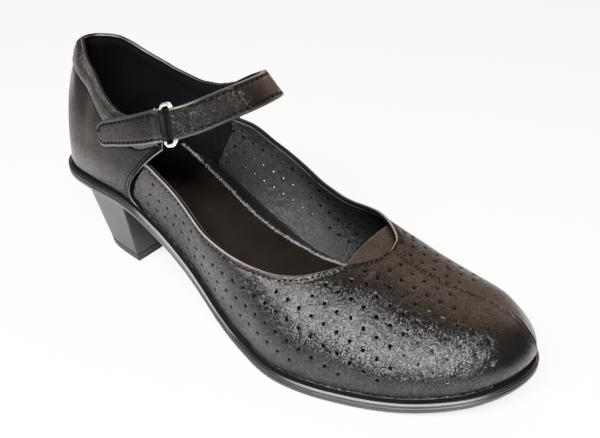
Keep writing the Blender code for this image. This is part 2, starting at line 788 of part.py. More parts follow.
TAB_TOP = [(44.2, 78.2), (48.6, 82.4), (57, 85.8), (66, 89.2), (74, 92.2), (79.0, 94.2)]
TAB_LOW = [(44.4, 75.6), (47.6, 71.4), (57, 73.4), (67, 76.0), (77, 78.6), (83.4, 80.2)]


def build_tab(mat):
    lift_in = QUARTER_STEP + BAND_STEP + GAP
    thick = 2.0
    count = 12
    top = open_spline(TAB_TOP, count)
    low = open_spline(TAB_LOW, count)
    rows = []
    for a, b in zip(top, low):
        line = []
        for f in (0, 0.25, 0.5, 0.75, 1.0):
            x, z = a + (b - a) * f
            t = float(station("lateral", x))
            p = wall("lateral", t, z)
            pu = wall("lateral", t, z + 0.5)
            pt = wall("lateral", t + 0.003, z)
            n = unit(np.cross(pt - p, pu - p))
            if n[1] > 0:
                n = -n
            line.append((p, n))
        rows.append(line)
    sections = []
    for line in rows:
        outer = [p + n * (lift_in + thick) for p, n in line]
        inner = [p + n * lift_in for p, n in line]
        sections.append(outer + inner[::-1])
    ends = []
    for e in (-RING_BAR - 1.7,):
        ring = []
        for f in (0.5, 0.25, 0.0, -0.25, -0.5):
            ring.append(ring_place(e, f * LOOP_WIDE, 1.9))
        for f in (-0.5, -0.25, 0.0, 0.25, 0.5):
            ring.append(ring_place(e, f * LOOP_WIDE, -0.1))
        ends.append(ring)
    obj = solid("closure_tab", *rings(sections + ends), mat)
    boolean(obj, tube("loop", -RING_BAR, LOOP_OUT, LOOP_WIDE, mat), "UNION")
    boolean(obj, tube("bar", -RING_BAR, LOOP_IN, LOOP_WIDE + 8, mat), "DIFFERENCE")
    return obj


def centre_model():
    """Move everything so the box stands centred on the origin, on the floor."""
    pts = np.array([v.co[:] for obj in BUILT for v in obj.data.vertices])
    lo, hi = pts.min(0), pts.max(0)
    shift = -(lo + hi) / 2
    shift[2] = -lo[2]
    for obj in BUILT:
        for v in obj.data.vertices:
            v.co = tuple(np.array(v.co[:]) + shift)
    return shift


def main():
    clear_scene()
    leather = material("black_leather", (0.022, 0.021, 0.022), 0.42)
    build_upper(leather)
    build_leaf(material("throat_leather", (0.045, 0.038, 0.034), 0.5))
    build_insole(material("sock_lining", (0.05, 0.036, 0.03), 0.6))
    build_outsole(material("sole_rubber", (0.015, 0.015, 0.016), 0.35))
    build_heel(material("heel_cover", (0.03, 0.03, 0.03), 0.3))
    build_lift(material("heel_rubber", (0.012, 0.012, 0.012), 0.6))
    build_strap(material("strap_leather", (0.024, 0.022, 0.022), 0.42))
    build_tab(material("tab_leather", (0.024, 0.022, 0.022), 0.44))
    build_ring(material("ring_chrome", (0.78, 0.78, 0.8), 0.16, 1.0))
    print("shift", centre_model() / MM)


main()
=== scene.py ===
"""Dressed right mary jane shoe: punched vamp, smooth quarters, instep strap, ring and block heel."""
import json
import math
from functools import cache

import bmesh
import bpy
import numpy as np
from bpy.props import FloatProperty, FloatVectorProperty, PointerProperty
from mathutils import Matrix, Vector
from mathutils.bvhtree import BVHTree
from mathutils.geometry import delaunay_2d_cdt

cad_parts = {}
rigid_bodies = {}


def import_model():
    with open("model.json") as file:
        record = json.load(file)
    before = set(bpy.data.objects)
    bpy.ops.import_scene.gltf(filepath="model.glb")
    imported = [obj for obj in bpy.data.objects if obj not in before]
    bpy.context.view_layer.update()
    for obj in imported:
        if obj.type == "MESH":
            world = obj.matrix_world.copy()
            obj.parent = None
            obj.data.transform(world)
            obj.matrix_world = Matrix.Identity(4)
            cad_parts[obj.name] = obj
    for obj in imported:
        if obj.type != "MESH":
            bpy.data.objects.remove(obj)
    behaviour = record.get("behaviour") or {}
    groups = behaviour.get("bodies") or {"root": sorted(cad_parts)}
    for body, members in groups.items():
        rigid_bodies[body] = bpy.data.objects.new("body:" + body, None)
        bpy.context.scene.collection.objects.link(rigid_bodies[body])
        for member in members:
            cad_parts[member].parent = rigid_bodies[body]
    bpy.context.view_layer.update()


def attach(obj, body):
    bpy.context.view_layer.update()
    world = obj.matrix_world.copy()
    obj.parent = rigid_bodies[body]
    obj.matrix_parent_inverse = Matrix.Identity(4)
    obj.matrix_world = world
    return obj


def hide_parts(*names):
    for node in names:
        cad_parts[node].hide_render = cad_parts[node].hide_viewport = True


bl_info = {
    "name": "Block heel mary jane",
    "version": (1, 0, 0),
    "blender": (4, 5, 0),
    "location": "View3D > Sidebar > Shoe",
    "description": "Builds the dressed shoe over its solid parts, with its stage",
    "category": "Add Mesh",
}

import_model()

# ---------------------------------------------------------------- the shoe's own sizes (mm)
MM = 0.001
CENTRE = np.array([120.80000306, -4.02309559, 0.0])
# Lift of the upper off the sole, leather of the vamp, and the same with its lining.
FOOT_GAP = 0.5
WALL = 1.5
LINING = 1.95
# How far the quarter stands off the vamp, and the collar band off the quarter.
QUARTER_STEP = 0.8
BAND_STEP = 0.5
SOLE_OUT = 2.6
SOLE_THICK = 4.6
HEEL_LIFT = 5.0
# Along the shoe: rounding of heel and toe, the vamp's rear end and the point of the throat.
HEEL_PIVOT = 28.0
TOE_PIVOT = 222.0
VAMP_REAR = 53.0
THROAT_X = 178.0

# Feather line in plan: x from the heel back, y outwards from the centre line.
LATERAL_LINE = [
    (0.0, 0.0), (3.2, -13.0), (14.0, -22.0), (32.0, -26.5), (60.0, -29.5), (95.0, -33.0),
    (128.0, -42.0), (156.0, -49.0), (185.0, -45.0), (210.0, -36.8), (230.0, -23.5), (239.8, -8.5),
]
MEDIAL_LINE = [
    (0.0, 0.0), (3.2, 13.0), (14.0, 22.5), (32.0, 27.5), (60.0, 28.0), (95.0, 27.5),
    (128.0, 31.5), (156.0, 38.0), (178.0, 41.0), (200.0, 38.0), (222.0, 28.6), (236.4, 15.5),
]
TIP = (241.6, 4.0)
# Sole: x, height of its upper side.
SOLE_TOP = [
    (-5, 48.2), (20, 47.4), (45, 46.6), (60, 44.0), (75, 37.6), (90, 28.7), (105, 19.5),
    (118, 12.0), (132, 6.8), (150, 4.6), (172, 4.6), (186, 5.2), (205, 7.0), (225, 10.4), (244, 15.0),
]
# Collar edge of the quarters from the back seam to the ring end: x, height.
COLLAR = {
    "lateral": [
        (0, 107.0), (3, 106.8), (10, 106.0), (18, 104.0), (28, 100.4), (35, 96.6), (42, 92.6),
        (50, 89.2), (58, 87.4), (65, 87.6), (72, 90.4), (79.2, 94.4),
    ],
    "medial": [
        (0, 107.0), (3, 106.8), (10, 106.0), (18, 103.6), (28, 99.2), (35, 94.8), (42, 90.8),
        (50, 87.6), (58, 85.6), (65, 85.6), (72, 87.2), (78, 89.4), (84, 91.8),
    ],
}
# Front edge of the quarters from the sole up to the ring end: x, height.
FRONT = {
    "lateral": [
        (64.5, 43.0), (61.0, 45.2), (59.2, 48.4), (59.4, 52.0), (62.4, 57.6), (69.0, 64.8), (76.2, 72.4),
        (84.0, 79.0),
    ],
    "medial": [(59, 44.9), (57.4, 49), (57.6, 54), (60.5, 61.5), (66, 69.4), (76.0, 76.2), (87.6, 81.4)],
}
# Open gap between the quarter's front edge and the vamp beside it: height, width.
FRONT_GAP = [(43, 0.7), (46, 2.4), (48, 2.9), (52, 2.8), (58, 1.9), (65, 0.9), (74, 0.2)]
# Collar band depth below the edge: x, depth.
BAND = [(0, 9.5), (28, 9.0), (46, 11.0), (84, 13.5)]
# Top edge of the vamp, from under the quarter to the centre of the throat: x, height.
TOP = {
    "lateral": [
        (50, 50), (57.4, 57), (61, 61.5), (66, 65.8), (71.4, 69.0), (82, 65.2), (96, 58.6), (112, 49.4),
        (125, 44.6), (136, 41.2), (146, 40.0), (154, 40.6), (162, 42.2), (170, 43.8), (178, 44.6),
    ],
    "medial": [
        (50, 52), (57.4, 59), (61, 64.5), (66, 69.4), (80, 67.0), (96, 57.8), (112, 48.4), (126, 43.0),
        (138, 41.6), (150, 43.4), (160, 45.2), (168, 46.0), (178, 44.6),
    ],
}
# Wall of each side: x, height where the section would close, roundness, outward belly.
WALLS = {
    "lateral": [
        (0, 118, 2.6, 0.0), (3, 117, 2.15, 0.0), (14, 117, 2.0, 0.0), (28, 117, 2.0, 0.2),
        (40, 118, 2.3, 0.8), (60, 122, 2.9, 1.6), (88, 126, 2.6, 3.0), (106, 110, 2.7, 3.8),
        (122, 86, 2.5, 2.6), (138, 60, 2.3, 1.4), (150, 50, 2.3, 1.2), (162, 46, 2.3, 1.3),
        (170, 45, 2.3, 1.4), (178, 44.6, 2.3, 1.5), (190, 39.8, 2.3, 1.5), (205, 36.2, 2.35, 1.4),
        (222, 34.4, 2.4, 1.2),
    ],
    "medial": [
        (0, 118, 2.6, 0.0), (3, 117, 2.15, 0.0), (14, 117, 2.0, 0.0), (28, 117, 2.0, 0.2),
        (40, 118, 2.3, 0.8), (60, 122, 2.8, 3.0), (88, 126, 2.4, 10.0), (106, 115, 2.6, 12.0),
        (122, 96, 2.6, 9.0), (138, 76, 2.4, 5.0), (150, 64, 2.3, 2.5), (162, 53, 2.3, 1.4),
        (170, 48.4, 2.3, 1.4), (178, 44.6, 2.3, 1.5), (190, 39.8, 2.3, 1.5), (205, 36.2, 2.35, 1.2),
        (222, 34.4, 2.4, 1.2),
    ],
}
# Centre line of the crown in plan: x, y.
SPINE = [(28, 0.5), (100, 0.0), (160, 1.0), (178, 2.0), (222, 4.0)]
SIDES = ("lateral", "medial")


# ---------------------------------------------------------------- curves and surfaces
def smooth(x, table, col):
    """Monotone cubic through one column of a table whose first column is x."""
    pts = np.array([(row[0], row[col]) for row in table], float)
    px, py = pts[:, 0], pts[:, 1]
    h = np.diff(px)
    d = np.diff(py) / h
    m = np.zeros(len(px))
    m[0], m[-1] = d[0], d[-1]
    for i in range(1, len(px) - 1):
        if d[i - 1] * d[i] > 0:
            w1, w2 = 2 * h[i] + h[i - 1], h[i] + 2 * h[i - 1]
            m[i] = (w1 + w2) / (w1 / d[i - 1] + w2 / d[i])
    x = np.clip(np.asarray(x, float), px[0], px[-1])
    k = np.clip(np.searchsorted(px, x, side="right") - 1, 0, len(px) - 2)
    t = (x - px[k]) / h[k]
    a = (1 + 2 * t) * (1 - t) ** 2
    b = t * (1 - t) ** 2
    c = t * t * (3 - 2 * t)
    e = t * t * (t - 1)
    return a * py[k] + b * h[k] * m[k] + c * py[k + 1] + e * h[k] * m[k + 1]


def spline(points, per, closed=False):
    """Centripetal Catmull-Rom through a row or a closed ring of points."""
    pts = np.array(points, float)
    if closed:
        pts = np.vstack([pts[-1:], pts, pts[:2]])
    else:
        pts = np.vstack([2 * pts[0] - pts[1], pts, 2 * pts[-1] - pts[-2]])
    out = []
    for i in range(1, len(pts) - 2):
        p = pts[i - 1:i + 3]
        t = np.concatenate([[0.0], np.cumsum(np.linalg.norm(np.diff(p, axis=0), axis=1) ** 0.5)])
        u = np.linspace(t[1], t[2], per, endpoint=False)[:, None]
        a = [((t[k + 1] - u) * p[k] + (u - t[k]) * p[k + 1]) / (t[k + 1] - t[k]) for k in range(3)]
        b = [((t[k + 2] - u) * a[k] + (u - t[k]) * a[k + 1]) / (t[k + 2] - t[k]) for k in range(2)]
        out.append(((t[2] - u) * b[0] + (u - t[1]) * b[1]) / (t[2] - t[1]))
    out = np.vstack(out)
    return out if closed else np.vstack([out, pts[-2:-1]])


def run_of(line):
    """Length of a polyline up to each of its points."""
    return np.concatenate([[0.0], np.cumsum(np.linalg.norm(np.diff(line, axis=0), axis=1))])


def point_at(run, line, at):
    """Points of a line at lengths of its run."""
    return np.stack([np.interp(at, run, line[:, k]) for k in range(line.shape[1])], -1)


def resample(line, count):
    """A polyline as a number of evenly spaced points."""
    run = run_of(line)
    return point_at(run, line, np.linspace(0.0, run[-1], count))


def half_lines():
    """Feather line of each side from heel to toe, with the share of its length at each point."""
    ring = spline(LATERAL_LINE + [TIP] + MEDIAL_LINE[:0:-1], 24, closed=True)
    cut = len(LATERAL_LINE) * 24
    halves = {"lateral": ring[:cut + 1], "medial": np.vstack([ring[cut:], ring[:1]])[::-1]}
    return {name: (run_of(line) / run_of(line)[-1], line) for name, line in halves.items()}


HALF = half_lines()


def feather(side, t):
    """Feather line at girth share t, from the heel to the toe."""
    run, line = HALF[side]
    return point_at(run, line, t)


def station(side, x):
    """Girth share t where the feather line reaches x."""
    run, line = HALF[side]
    return np.interp(x, np.maximum.accumulate(line[:, 0]), run)


def sole_z(x):
    return smooth(x, SOLE_TOP, 1)


def foot_z(side, t):
    return sole_z(feather(side, t)[..., 0]) + FOOT_GAP


def wall(side, t, z):
    """Outer face of the vamp leather at girth share t and height z."""
    t, z = np.broadcast_arrays(np.asarray(t, float), np.asarray(z, float))
    f = feather(side, t)
    xc = np.clip(f[..., 0], HEEL_PIVOT, TOE_PIVOT)
    zc, n, belly = (smooth(f[..., 0], WALLS[side], k) for k in (1, 2, 3))
    c = np.stack([xc, smooth(xc, SPINE, 1)], -1)
    zf = foot_z(side, t)
    rise = np.clip((z - zf) / (zc - zf), 0.0, 1.0)
    rho = (1.0 - rise ** n) ** (1.0 / n)
    d = f - c
    size = np.maximum(np.linalg.norm(d, axis=-1), 1e-6)
    out = belly * np.sin(np.pi * np.clip(rise / 0.7, 0.0, 1.0))
    xy = c + d * (rho + out / size)[..., None]
    tilt = smooth(TOE_PIVOT, WALLS[side], 1) - smooth(TOE_PIVOT - 1.0, WALLS[side], 1)
    ahead = np.where(f[..., 0] > TOE_PIVOT, (xy[..., 0] - TOE_PIVOT) * tilt, 0.0)
    return np.concatenate([xy, (zf + (zc - zf) * rise + ahead * rise)[..., None]], -1)


def top_z(side, x):
    """Height of the vamp's upper edge; ahead of the throat the crown closes below it."""
    return np.where(x >= THROAT_X, 1e3, smooth(x, TOP[side], 1))


def height(side, t, share, top):
    """Height at a share (0..1) of the girth between the feather line and the top."""
    zc, n = (smooth(feather(side, t)[..., 0], WALLS[side], k) for k in (1, 2))
    zf = foot_z(side, t)
    end = np.arcsin(np.clip((np.minimum(top, zc) - zf) / (zc - zf), 0.0, 1.0) ** (n / 2.0))
    return zf + (zc - zf) * np.sin(end * share) ** (2.0 / n)


def share_of(side, t, z):
    """Share (0..1) of the girth at which the vamp reaches height z; the inverse of height()."""
    x = feather(side, t)[..., 0]
    zc, n = (smooth(x, WALLS[side], k) for k in (1, 2))
    zf = foot_z(side, t)
    top = np.minimum(top_z(side, x), zc)
    angle = [np.arcsin(np.clip((v - zf) / (zc - zf), 0.0, 1.0) ** (n / 2.0)) for v in (z, top)]
    return angle[0] / angle[1]


def vamp_point(side, t, h):
    """Vamp leather at girth share t and height share h."""
    t, h = np.broadcast_arrays(np.asarray(t, float), np.asarray(h, float))
    return wall(side, t, height(side, t, h, top_z(side, feather(side, t)[..., 0])))


def unit(v):
    v = np.asarray(v, float)
    return v / np.maximum(np.linalg.norm(v, axis=-1, keepdims=True), 1e-9)


def bump(d, at, wide):
    """A soft ridge of height 1 at distance at."""
    return np.exp(-((d - at) / wide) ** 2)


def ramp(x, a, b):
    """0 before a, 1 after b, smooth between."""
    u = np.clip((np.asarray(x, float) - a) / (b - a), 0.0, 1.0)
    return u * u * (3 - 2 * u)


def nearest(points, line):
    """Distance from each point of a row or grid to a dense polyline."""
    flat = points.reshape(-1, points.shape[-1])
    out = np.empty(len(flat))
    for i in range(0, len(flat), 2000):
        part = flat[i:i + 2000]
        out[i:i + 2000] = np.sqrt(((part[:, None] - line[None]) ** 2).sum(-1).min(1))
    return out.reshape(points.shape[:-1])


def between(grid, i, k, u, v):
    """A value between four neighbours of a grid, at shares u, v of the step after row i, column k."""
    first, second = (grid[i, n] * (1 - u) + grid[i + 1, n] * u for n in (k, k + 1))
    return first * (1 - v) + second * v


# ---------------------------------------------------------------- pieces
def new_object(name, data):
    obj = bpy.data.objects.new(name, data)
    bpy.context.scene.collection.objects.link(obj)
    return obj


class Shell:
    """Vertices and faces of one piece, gathered in the shoe's own millimetres."""

    def __init__(self):
        self.verts = []
        self.faces = []
        self.kinds = []

    def add(self, points):
        start = len(self.verts)
        self.verts.extend(tuple(p) for p in np.asarray(points, float).reshape(-1, 3))
        return start

    def row(self, points):
        """Numbers of new vertices at a row of points."""
        return np.arange(len(points)) + self.add(points)

    def face(self, ids, kind=0, flip=False):
        ring = [v for i, v in enumerate(ids) if v != ids[i - 1]]
        if len(ring) > 2:
            self.faces.append(tuple(ring[::-1] if flip else ring))
            self.kinds.append(kind)

    def net(self, ids, kinds=0, flip=False, wrap=False):
        """Quads over a grid of vertex numbers; kinds is a material number or a grid of them."""
        ids = np.asarray(ids)
        rows, cols = ids.shape
        for i in range(rows - 1):
            for k in range(cols if wrap else cols - 1):
                j = (k + 1) % cols
                kind = kinds if np.isscalar(kinds) else int(kinds[i][k])
                self.face((ids[i, k], ids[i, j], ids[i + 1, j], ids[i + 1, k]), kind, flip)
        return ids

    def grid(self, points, kinds=0, flip=False, wrap=False):
        points = np.asarray(points, float)
        ids = self.row(points.reshape(-1, 3)).reshape(points.shape[:2])
        return self.net(ids, kinds, flip, wrap)

    def piece(self, name, finishes, slot, nodes=(), outward=True):
        """The finished object, riding on the shoe's one body; outward turns its faces out of it."""
        mesh = bpy.data.meshes.new(name)
        points = (np.array(self.verts) - CENTRE) * MM
        mesh.from_pydata(points.tolist(), [], self.faces)
        for label in finishes:
            mesh.materials.append(finish(label))
        mesh.polygons.foreach_set("material_index", self.kinds)
        mesh.polygons.foreach_set("use_smooth", [True] * len(self.faces))
        mesh.validate()
        mesh.update()
        if outward:
            fix_outward(mesh)
        obj = new_object(name, mesh)
        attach(obj, "root")
        if nodes:
            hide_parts(*nodes)
        return obj


def fix_outward(mesh):
    """Turns the faces of a closed mesh to face out of its body."""
    work = bmesh.new()
    work.from_mesh(mesh)
    bmesh.ops.remove_doubles(work, verts=work.verts, dist=0.002 * MM)
    bmesh.ops.recalc_face_normals(work, faces=work.faces)
    work.to_mesh(mesh)
    work.free()


def grid_normals(points):
    a = np.gradient(points, axis=0)
    b = np.gradient(points, axis=1)
    return unit(np.cross(a, b))


def mesh_normals(verts, tris):
    n = np.zeros_like(verts)
    cross = np.cross(verts[tris[:, 1]] - verts[tris[:, 0]], verts[tris[:, 2]] - verts[tris[:, 0]])
    for k in range(3):
        np.add.at(n, tris[:, k], cross)
    return unit(n)


def lip(shell, outer, inner, out_dir, round_of=0.9, groove=0.0, strips=(0,) * 7, flip=False):
    """A rounded edge from a row of outer vertices to one of inner ones, a material for each strip."""
    pts = np.array(shell.verts)
    o, i = pts[outer], pts[inner]
    mid, arm = (o + i) / 2, (o - i) / 2
    reach = np.linalg.norm(arm, axis=1)[:, None] * out_dir
    rows = [np.asarray(outer)]
    for k in range(1, len(strips)):
        a = math.pi * k / len(strips)
        lift = round_of * math.sin(a) - groove * bump(math.cos(a), 0.1, 0.22)
        rows.append(shell.row(mid + arm * math.cos(a) + reach * lift))
    rows.append(np.asarray(inner))
    shell.net(np.array(rows), np.array(strips)[:, None] * np.ones(len(o), int), flip)


# ---------------------------------------------------------------- stitches
# Rings along a stitch: share of its length, width and seat against the thread's radius.
BEAD = ((0.0, 0.25, -0.9), (0.12, 0.85, 0.1), (0.5, 1.0, 0.45), (0.88, 0.85, 0.1), (1.0, 0.25, -0.9))


class Stitches:
    """Rows of short thread stitches, each a slim bead seated on its surface."""

    def __init__(self, long, gap, radius):
        self.long, self.gap, self.radius = long, gap, radius
        self.shell = Shell()

    def row(self, path, normals, sink):
        run = run_of(path)
        pitch = self.long + self.gap
        for k in range(max(1, int(run[-1] / pitch))):
            rings = []
            for share, wide, seat in BEAD:
                at = pitch * k + self.gap / 2 + self.long * share
                n = unit(point_at(run, normals, at))
                side = unit(np.cross(n, point_at(run, path, at + 0.2) - point_at(run, path, at - 0.2)))
                base = point_at(run, path, at) + n * (seat * self.radius - sink)
                rings.append([base + self.radius * wide * (side * math.cos(w) + n * math.sin(w))
                              for w in np.arange(6) * math.pi / 3])
            ids = self.shell.grid(rings, wrap=True)
            self.shell.face(list(ids[0])[::-1])
            self.shell.face(list(ids[-1]))


def seat_on(tree, path):
    """Surface points and normals of a built piece under a row of points."""
    points, normals = [], []
    for p in path:
        spot, normal, _, _ = tree.find_nearest(Vector(((p - CENTRE) * MM).tolist()))
        points.append(np.array(spot[:]) / MM + CENTRE)
        normals.append(normal[:])
    return np.array(points), np.array(normals)


def tree_of(mesh):
    return BVHTree.FromPolygons([v.co for v in mesh.vertices], [p.vertices[:] for p in mesh.polygons])


# ---------------------------------------------------------------- shader building
X, Y, Z = 0, 1, 2
# Range of the noise that carries nearly all of its clouds.
CLOUD = (0.3, 0.7)


def feed(tree, socket, value):
    """Gives a socket a link or a plain value."""
    if isinstance(value, bpy.types.NodeSocket):
        tree.links.new(value, socket)
    else:
        socket.default_value = value


def put(tree, kind, links=None, **settings):
    """One node; links maps socket names or numbers to sockets or plain values."""
    node = tree.nodes.new(kind)
    for key, value in settings.items():
        setattr(node, key, value)
    for key, value in (links or {}).items():
        feed(tree, node.inputs[key], value)
    return node


def math_of(tree, operation, *values):
    return put(tree, "ShaderNodeMath", dict(enumerate(values)), operation=operation).outputs[0]


def times(tree, a, b):
    return math_of(tree, "MULTIPLY", a, b)


def plus(tree, a, b):
    return math_of(tree, "ADD", a, b)


def remap(tree, value, low, high, to_low=0.0, to_high=1.0):
    links = {"Value": value, "From Min": low, "From Max": high, "To Min": to_low, "To Max": to_high}
    return put(tree, "ShaderNodeMapRange", links, interpolation_type="SMOOTHSTEP").outputs["Result"]


def mix_colour(tree, factor, a, b):
    node = put(tree, "ShaderNodeMix", {"Factor": factor}, data_type="RGBA")
    for socket, value in ((node.inputs[6], a), (node.inputs[7], b)):
        feed(tree, socket, value if isinstance(value, bpy.types.NodeSocket) else (*value, 1.0))
    return node.outputs[2]


def noise(tree, where, scale, detail, roughness=0.5):
    """Outputs of a cloudy noise."""
    links = {"Vector": where, "Scale": scale, "Detail": detail, "Roughness": roughness}
    return put(tree, "ShaderNodeTexNoise", links).outputs


def new_group(name, inputs, outputs):
    """A shader group; inputs hold each value's default, None for a vector; outputs are values."""
    group = bpy.data.node_groups.new(name, "ShaderNodeTree")
    for label, default in inputs.items():
        kind = "NodeSocketVector" if default is None else "NodeSocketFloat"
        socket = group.interface.new_socket(name=label, in_out="INPUT", socket_type=kind)
        if default is not None:
            socket.default_value = default
    for label in outputs:
        group.interface.new_socket(name=label, in_out="OUTPUT", socket_type="NodeSocketFloat")
    given, out = group.nodes.new("NodeGroupInput"), group.nodes.new("NodeGroupOutput")
    return group, given.outputs, out.inputs


@cache
def grain_group():
    """Pebbled leather: rounded cells with creases between, finer pores, and a crease mask for painted
    shade.
    """
    inputs = {"Vector": None, "Cells per metre": 1100.0, "Pores": 0.35}
    group, given, out = new_group("Pebble grain", inputs, ("Height", "Crease shade", "Gloss"))
    where, cells = given["Vector"], given["Cells per metre"]
    wander = (0.9 * MM,) * 3
    shift = put(group, "ShaderNodeVectorMath", {0: noise(group, where, 420.0, 2.0)["Color"], 1: wander},
                operation="MULTIPLY")
    place = put(group, "ShaderNodeVectorMath", {0: where, 1: shift.outputs[0]}, operation="ADD")
    edge = put(group, "ShaderNodeTexVoronoi", {"Vector": place.outputs[0], "Scale": cells},
               feature="DISTANCE_TO_EDGE").outputs["Distance"]
    pores = times(group, noise(group, where, 3400.0, 3.0)["Fac"], given["Pores"])
    lumps = noise(group, where, times(group, cells, 0.8), 1.0)["Fac"]
    dome = plus(group, remap(group, edge, 0.0, 0.42), pores)
    feed(group, out["Height"], plus(group, dome, times(group, lumps, 0.25)))
    feed(group, out["Crease shade"], remap(group, edge, 0.1, 0.0))
    feed(group, out["Gloss"], remap(group, lumps, 0.35, 0.65, 0.74, 1.26))
    return group


@cache
def scuff_group():
    """Patchy rubbing and a little dust, as masks that change over the surface."""
    group, given, out = new_group("Handling marks", {"Vector": None, "Patch scale": 45.0, "Cover": 0.5},
                                  ("Rub", "Cloud"))
    cloud = noise(group, given["Vector"], given["Patch scale"], 4.0, 0.6)["Fac"]
    speck = noise(group, given["Vector"], 900.0, 2.0)["Fac"]
    edge = math_of(group, "SUBTRACT", 0.62, times(group, given["Cover"], 0.5))
    rub = remap(group, times(group, cloud, speck), times(group, edge, 0.6), plus(group, edge, 0.12))
    feed(group, out["Rub"], rub)
    feed(group, out["Cloud"], cloud)
    return group


def graded(tree, where, axis, *stops):
    """A value given at places (mm) along an axis and eased between them."""
    place = put(tree, "ShaderNodeSeparateXYZ", {"Vector": where}).outputs[axis]
    value = stops[0][1]
    for (a, low), (b, high) in zip(stops, stops[1:]):
        ends = [(v - CENTRE[axis]) * MM for v in (a, b)]
        value = plus(tree, times(tree, remap(tree, place, *ends), high - low), value)
    return value


def new_material(name):
    """A material, its node tree, its shader's inputs and the place on the object."""
    mat = bpy.data.materials.new(name)
    mat.use_nodes = True
    tree = mat.node_tree
    where = put(tree, "ShaderNodeTexCoord").outputs["Object"]
    return mat, tree, tree.nodes["Principled BSDF"].inputs, where


def leather(label, colour, tint, rough, shine, cells=None, depth=0.01, fade=None, painted_sheen=None):
    """A worn, waxed surface: shine is the share of wax, cells its pebbles per metre, depth in mm.

    fade and the sheen stops each name an axis and stops along it: where the grain is stretched flat, and
    how the share of wax changes by place, as painted highlight and painted shade."""
    mat, tree, shader, where = new_material(label)
    marks = put(tree, "ShaderNodeGroup", {"Vector": where}, node_tree=scuff_group()).outputs
    rubbed = tuple(min(1.0, c * 2.2 + 0.0002) for c in colour)
    base = mix_colour(tree, marks["Cloud"], colour, tint)
    base = mix_colour(tree, times(tree, marks["Rub"], 0.35), base, rubbed)
    wax = remap(tree, marks["Cloud"], *CLOUD, shine * 0.85, shine * 1.15)
    # Wax raised or lowered by place along an axis: painted highlight and painted shade.
    if painted_sheen:
        wax = times(tree, wax, graded(tree, where, *painted_sheen))
    if cells:
        links = {"Cells per metre": cells, "Vector": where}
        pebbles = put(tree, "ShaderNodeGroup", links, node_tree=grain_group()).outputs
        relief, creases = pebbles["Height"], pebbles["Crease shade"]
        if fade:
            left = graded(tree, where, *fade)
            relief, creases = times(tree, relief, left), times(tree, creases, left)
        # Creases take a darker colour and less wax: painted shade in the creases between the pebbles.
        base = mix_colour(tree, times(tree, creases, 0.45), base, tuple(c * 0.35 for c in colour))
        wax = times(tree, wax, remap(tree, creases, 0.0, 1.0, 1.1, 0.35))
        wax = times(tree, wax, pebbles["Gloss"])
    else:
        relief = noise(tree, where, 2600.0, 3.0)["Fac"]
    links = {"Height": relief, "Distance": depth * MM, "Strength": 1.0}
    normal = put(tree, "ShaderNodeBump", links).outputs["Normal"]
    rough_map = remap(tree, marks["Cloud"], *CLOUD, rough, rough + 0.1)
    for socket, value in (("Base Color", base), ("Roughness", rough_map), ("Coat Weight", wax),
                          ("Normal", normal), ("Coat Normal", normal), ("Coat Roughness", rough),
                          ("Specular IOR Level", 0.0)):
        feed(tree, shader[socket], value)
    return mat


def polished_metal(label):
    """Bright metal with faint cloudy smears."""
    mat, tree, shader, where = new_material(label)
    cloud = noise(tree, where, 300.0, 4.0)["Fac"]
    feed(tree, shader["Roughness"], remap(tree, cloud, *CLOUD, 0.1, 0.2))
    feed(tree, shader["Base Color"], mix_colour(tree, cloud, (0.78, 0.78, 0.8), (0.9, 0.9, 0.92)))
    feed(tree, shader["Metallic"], 1.0)
    return mat
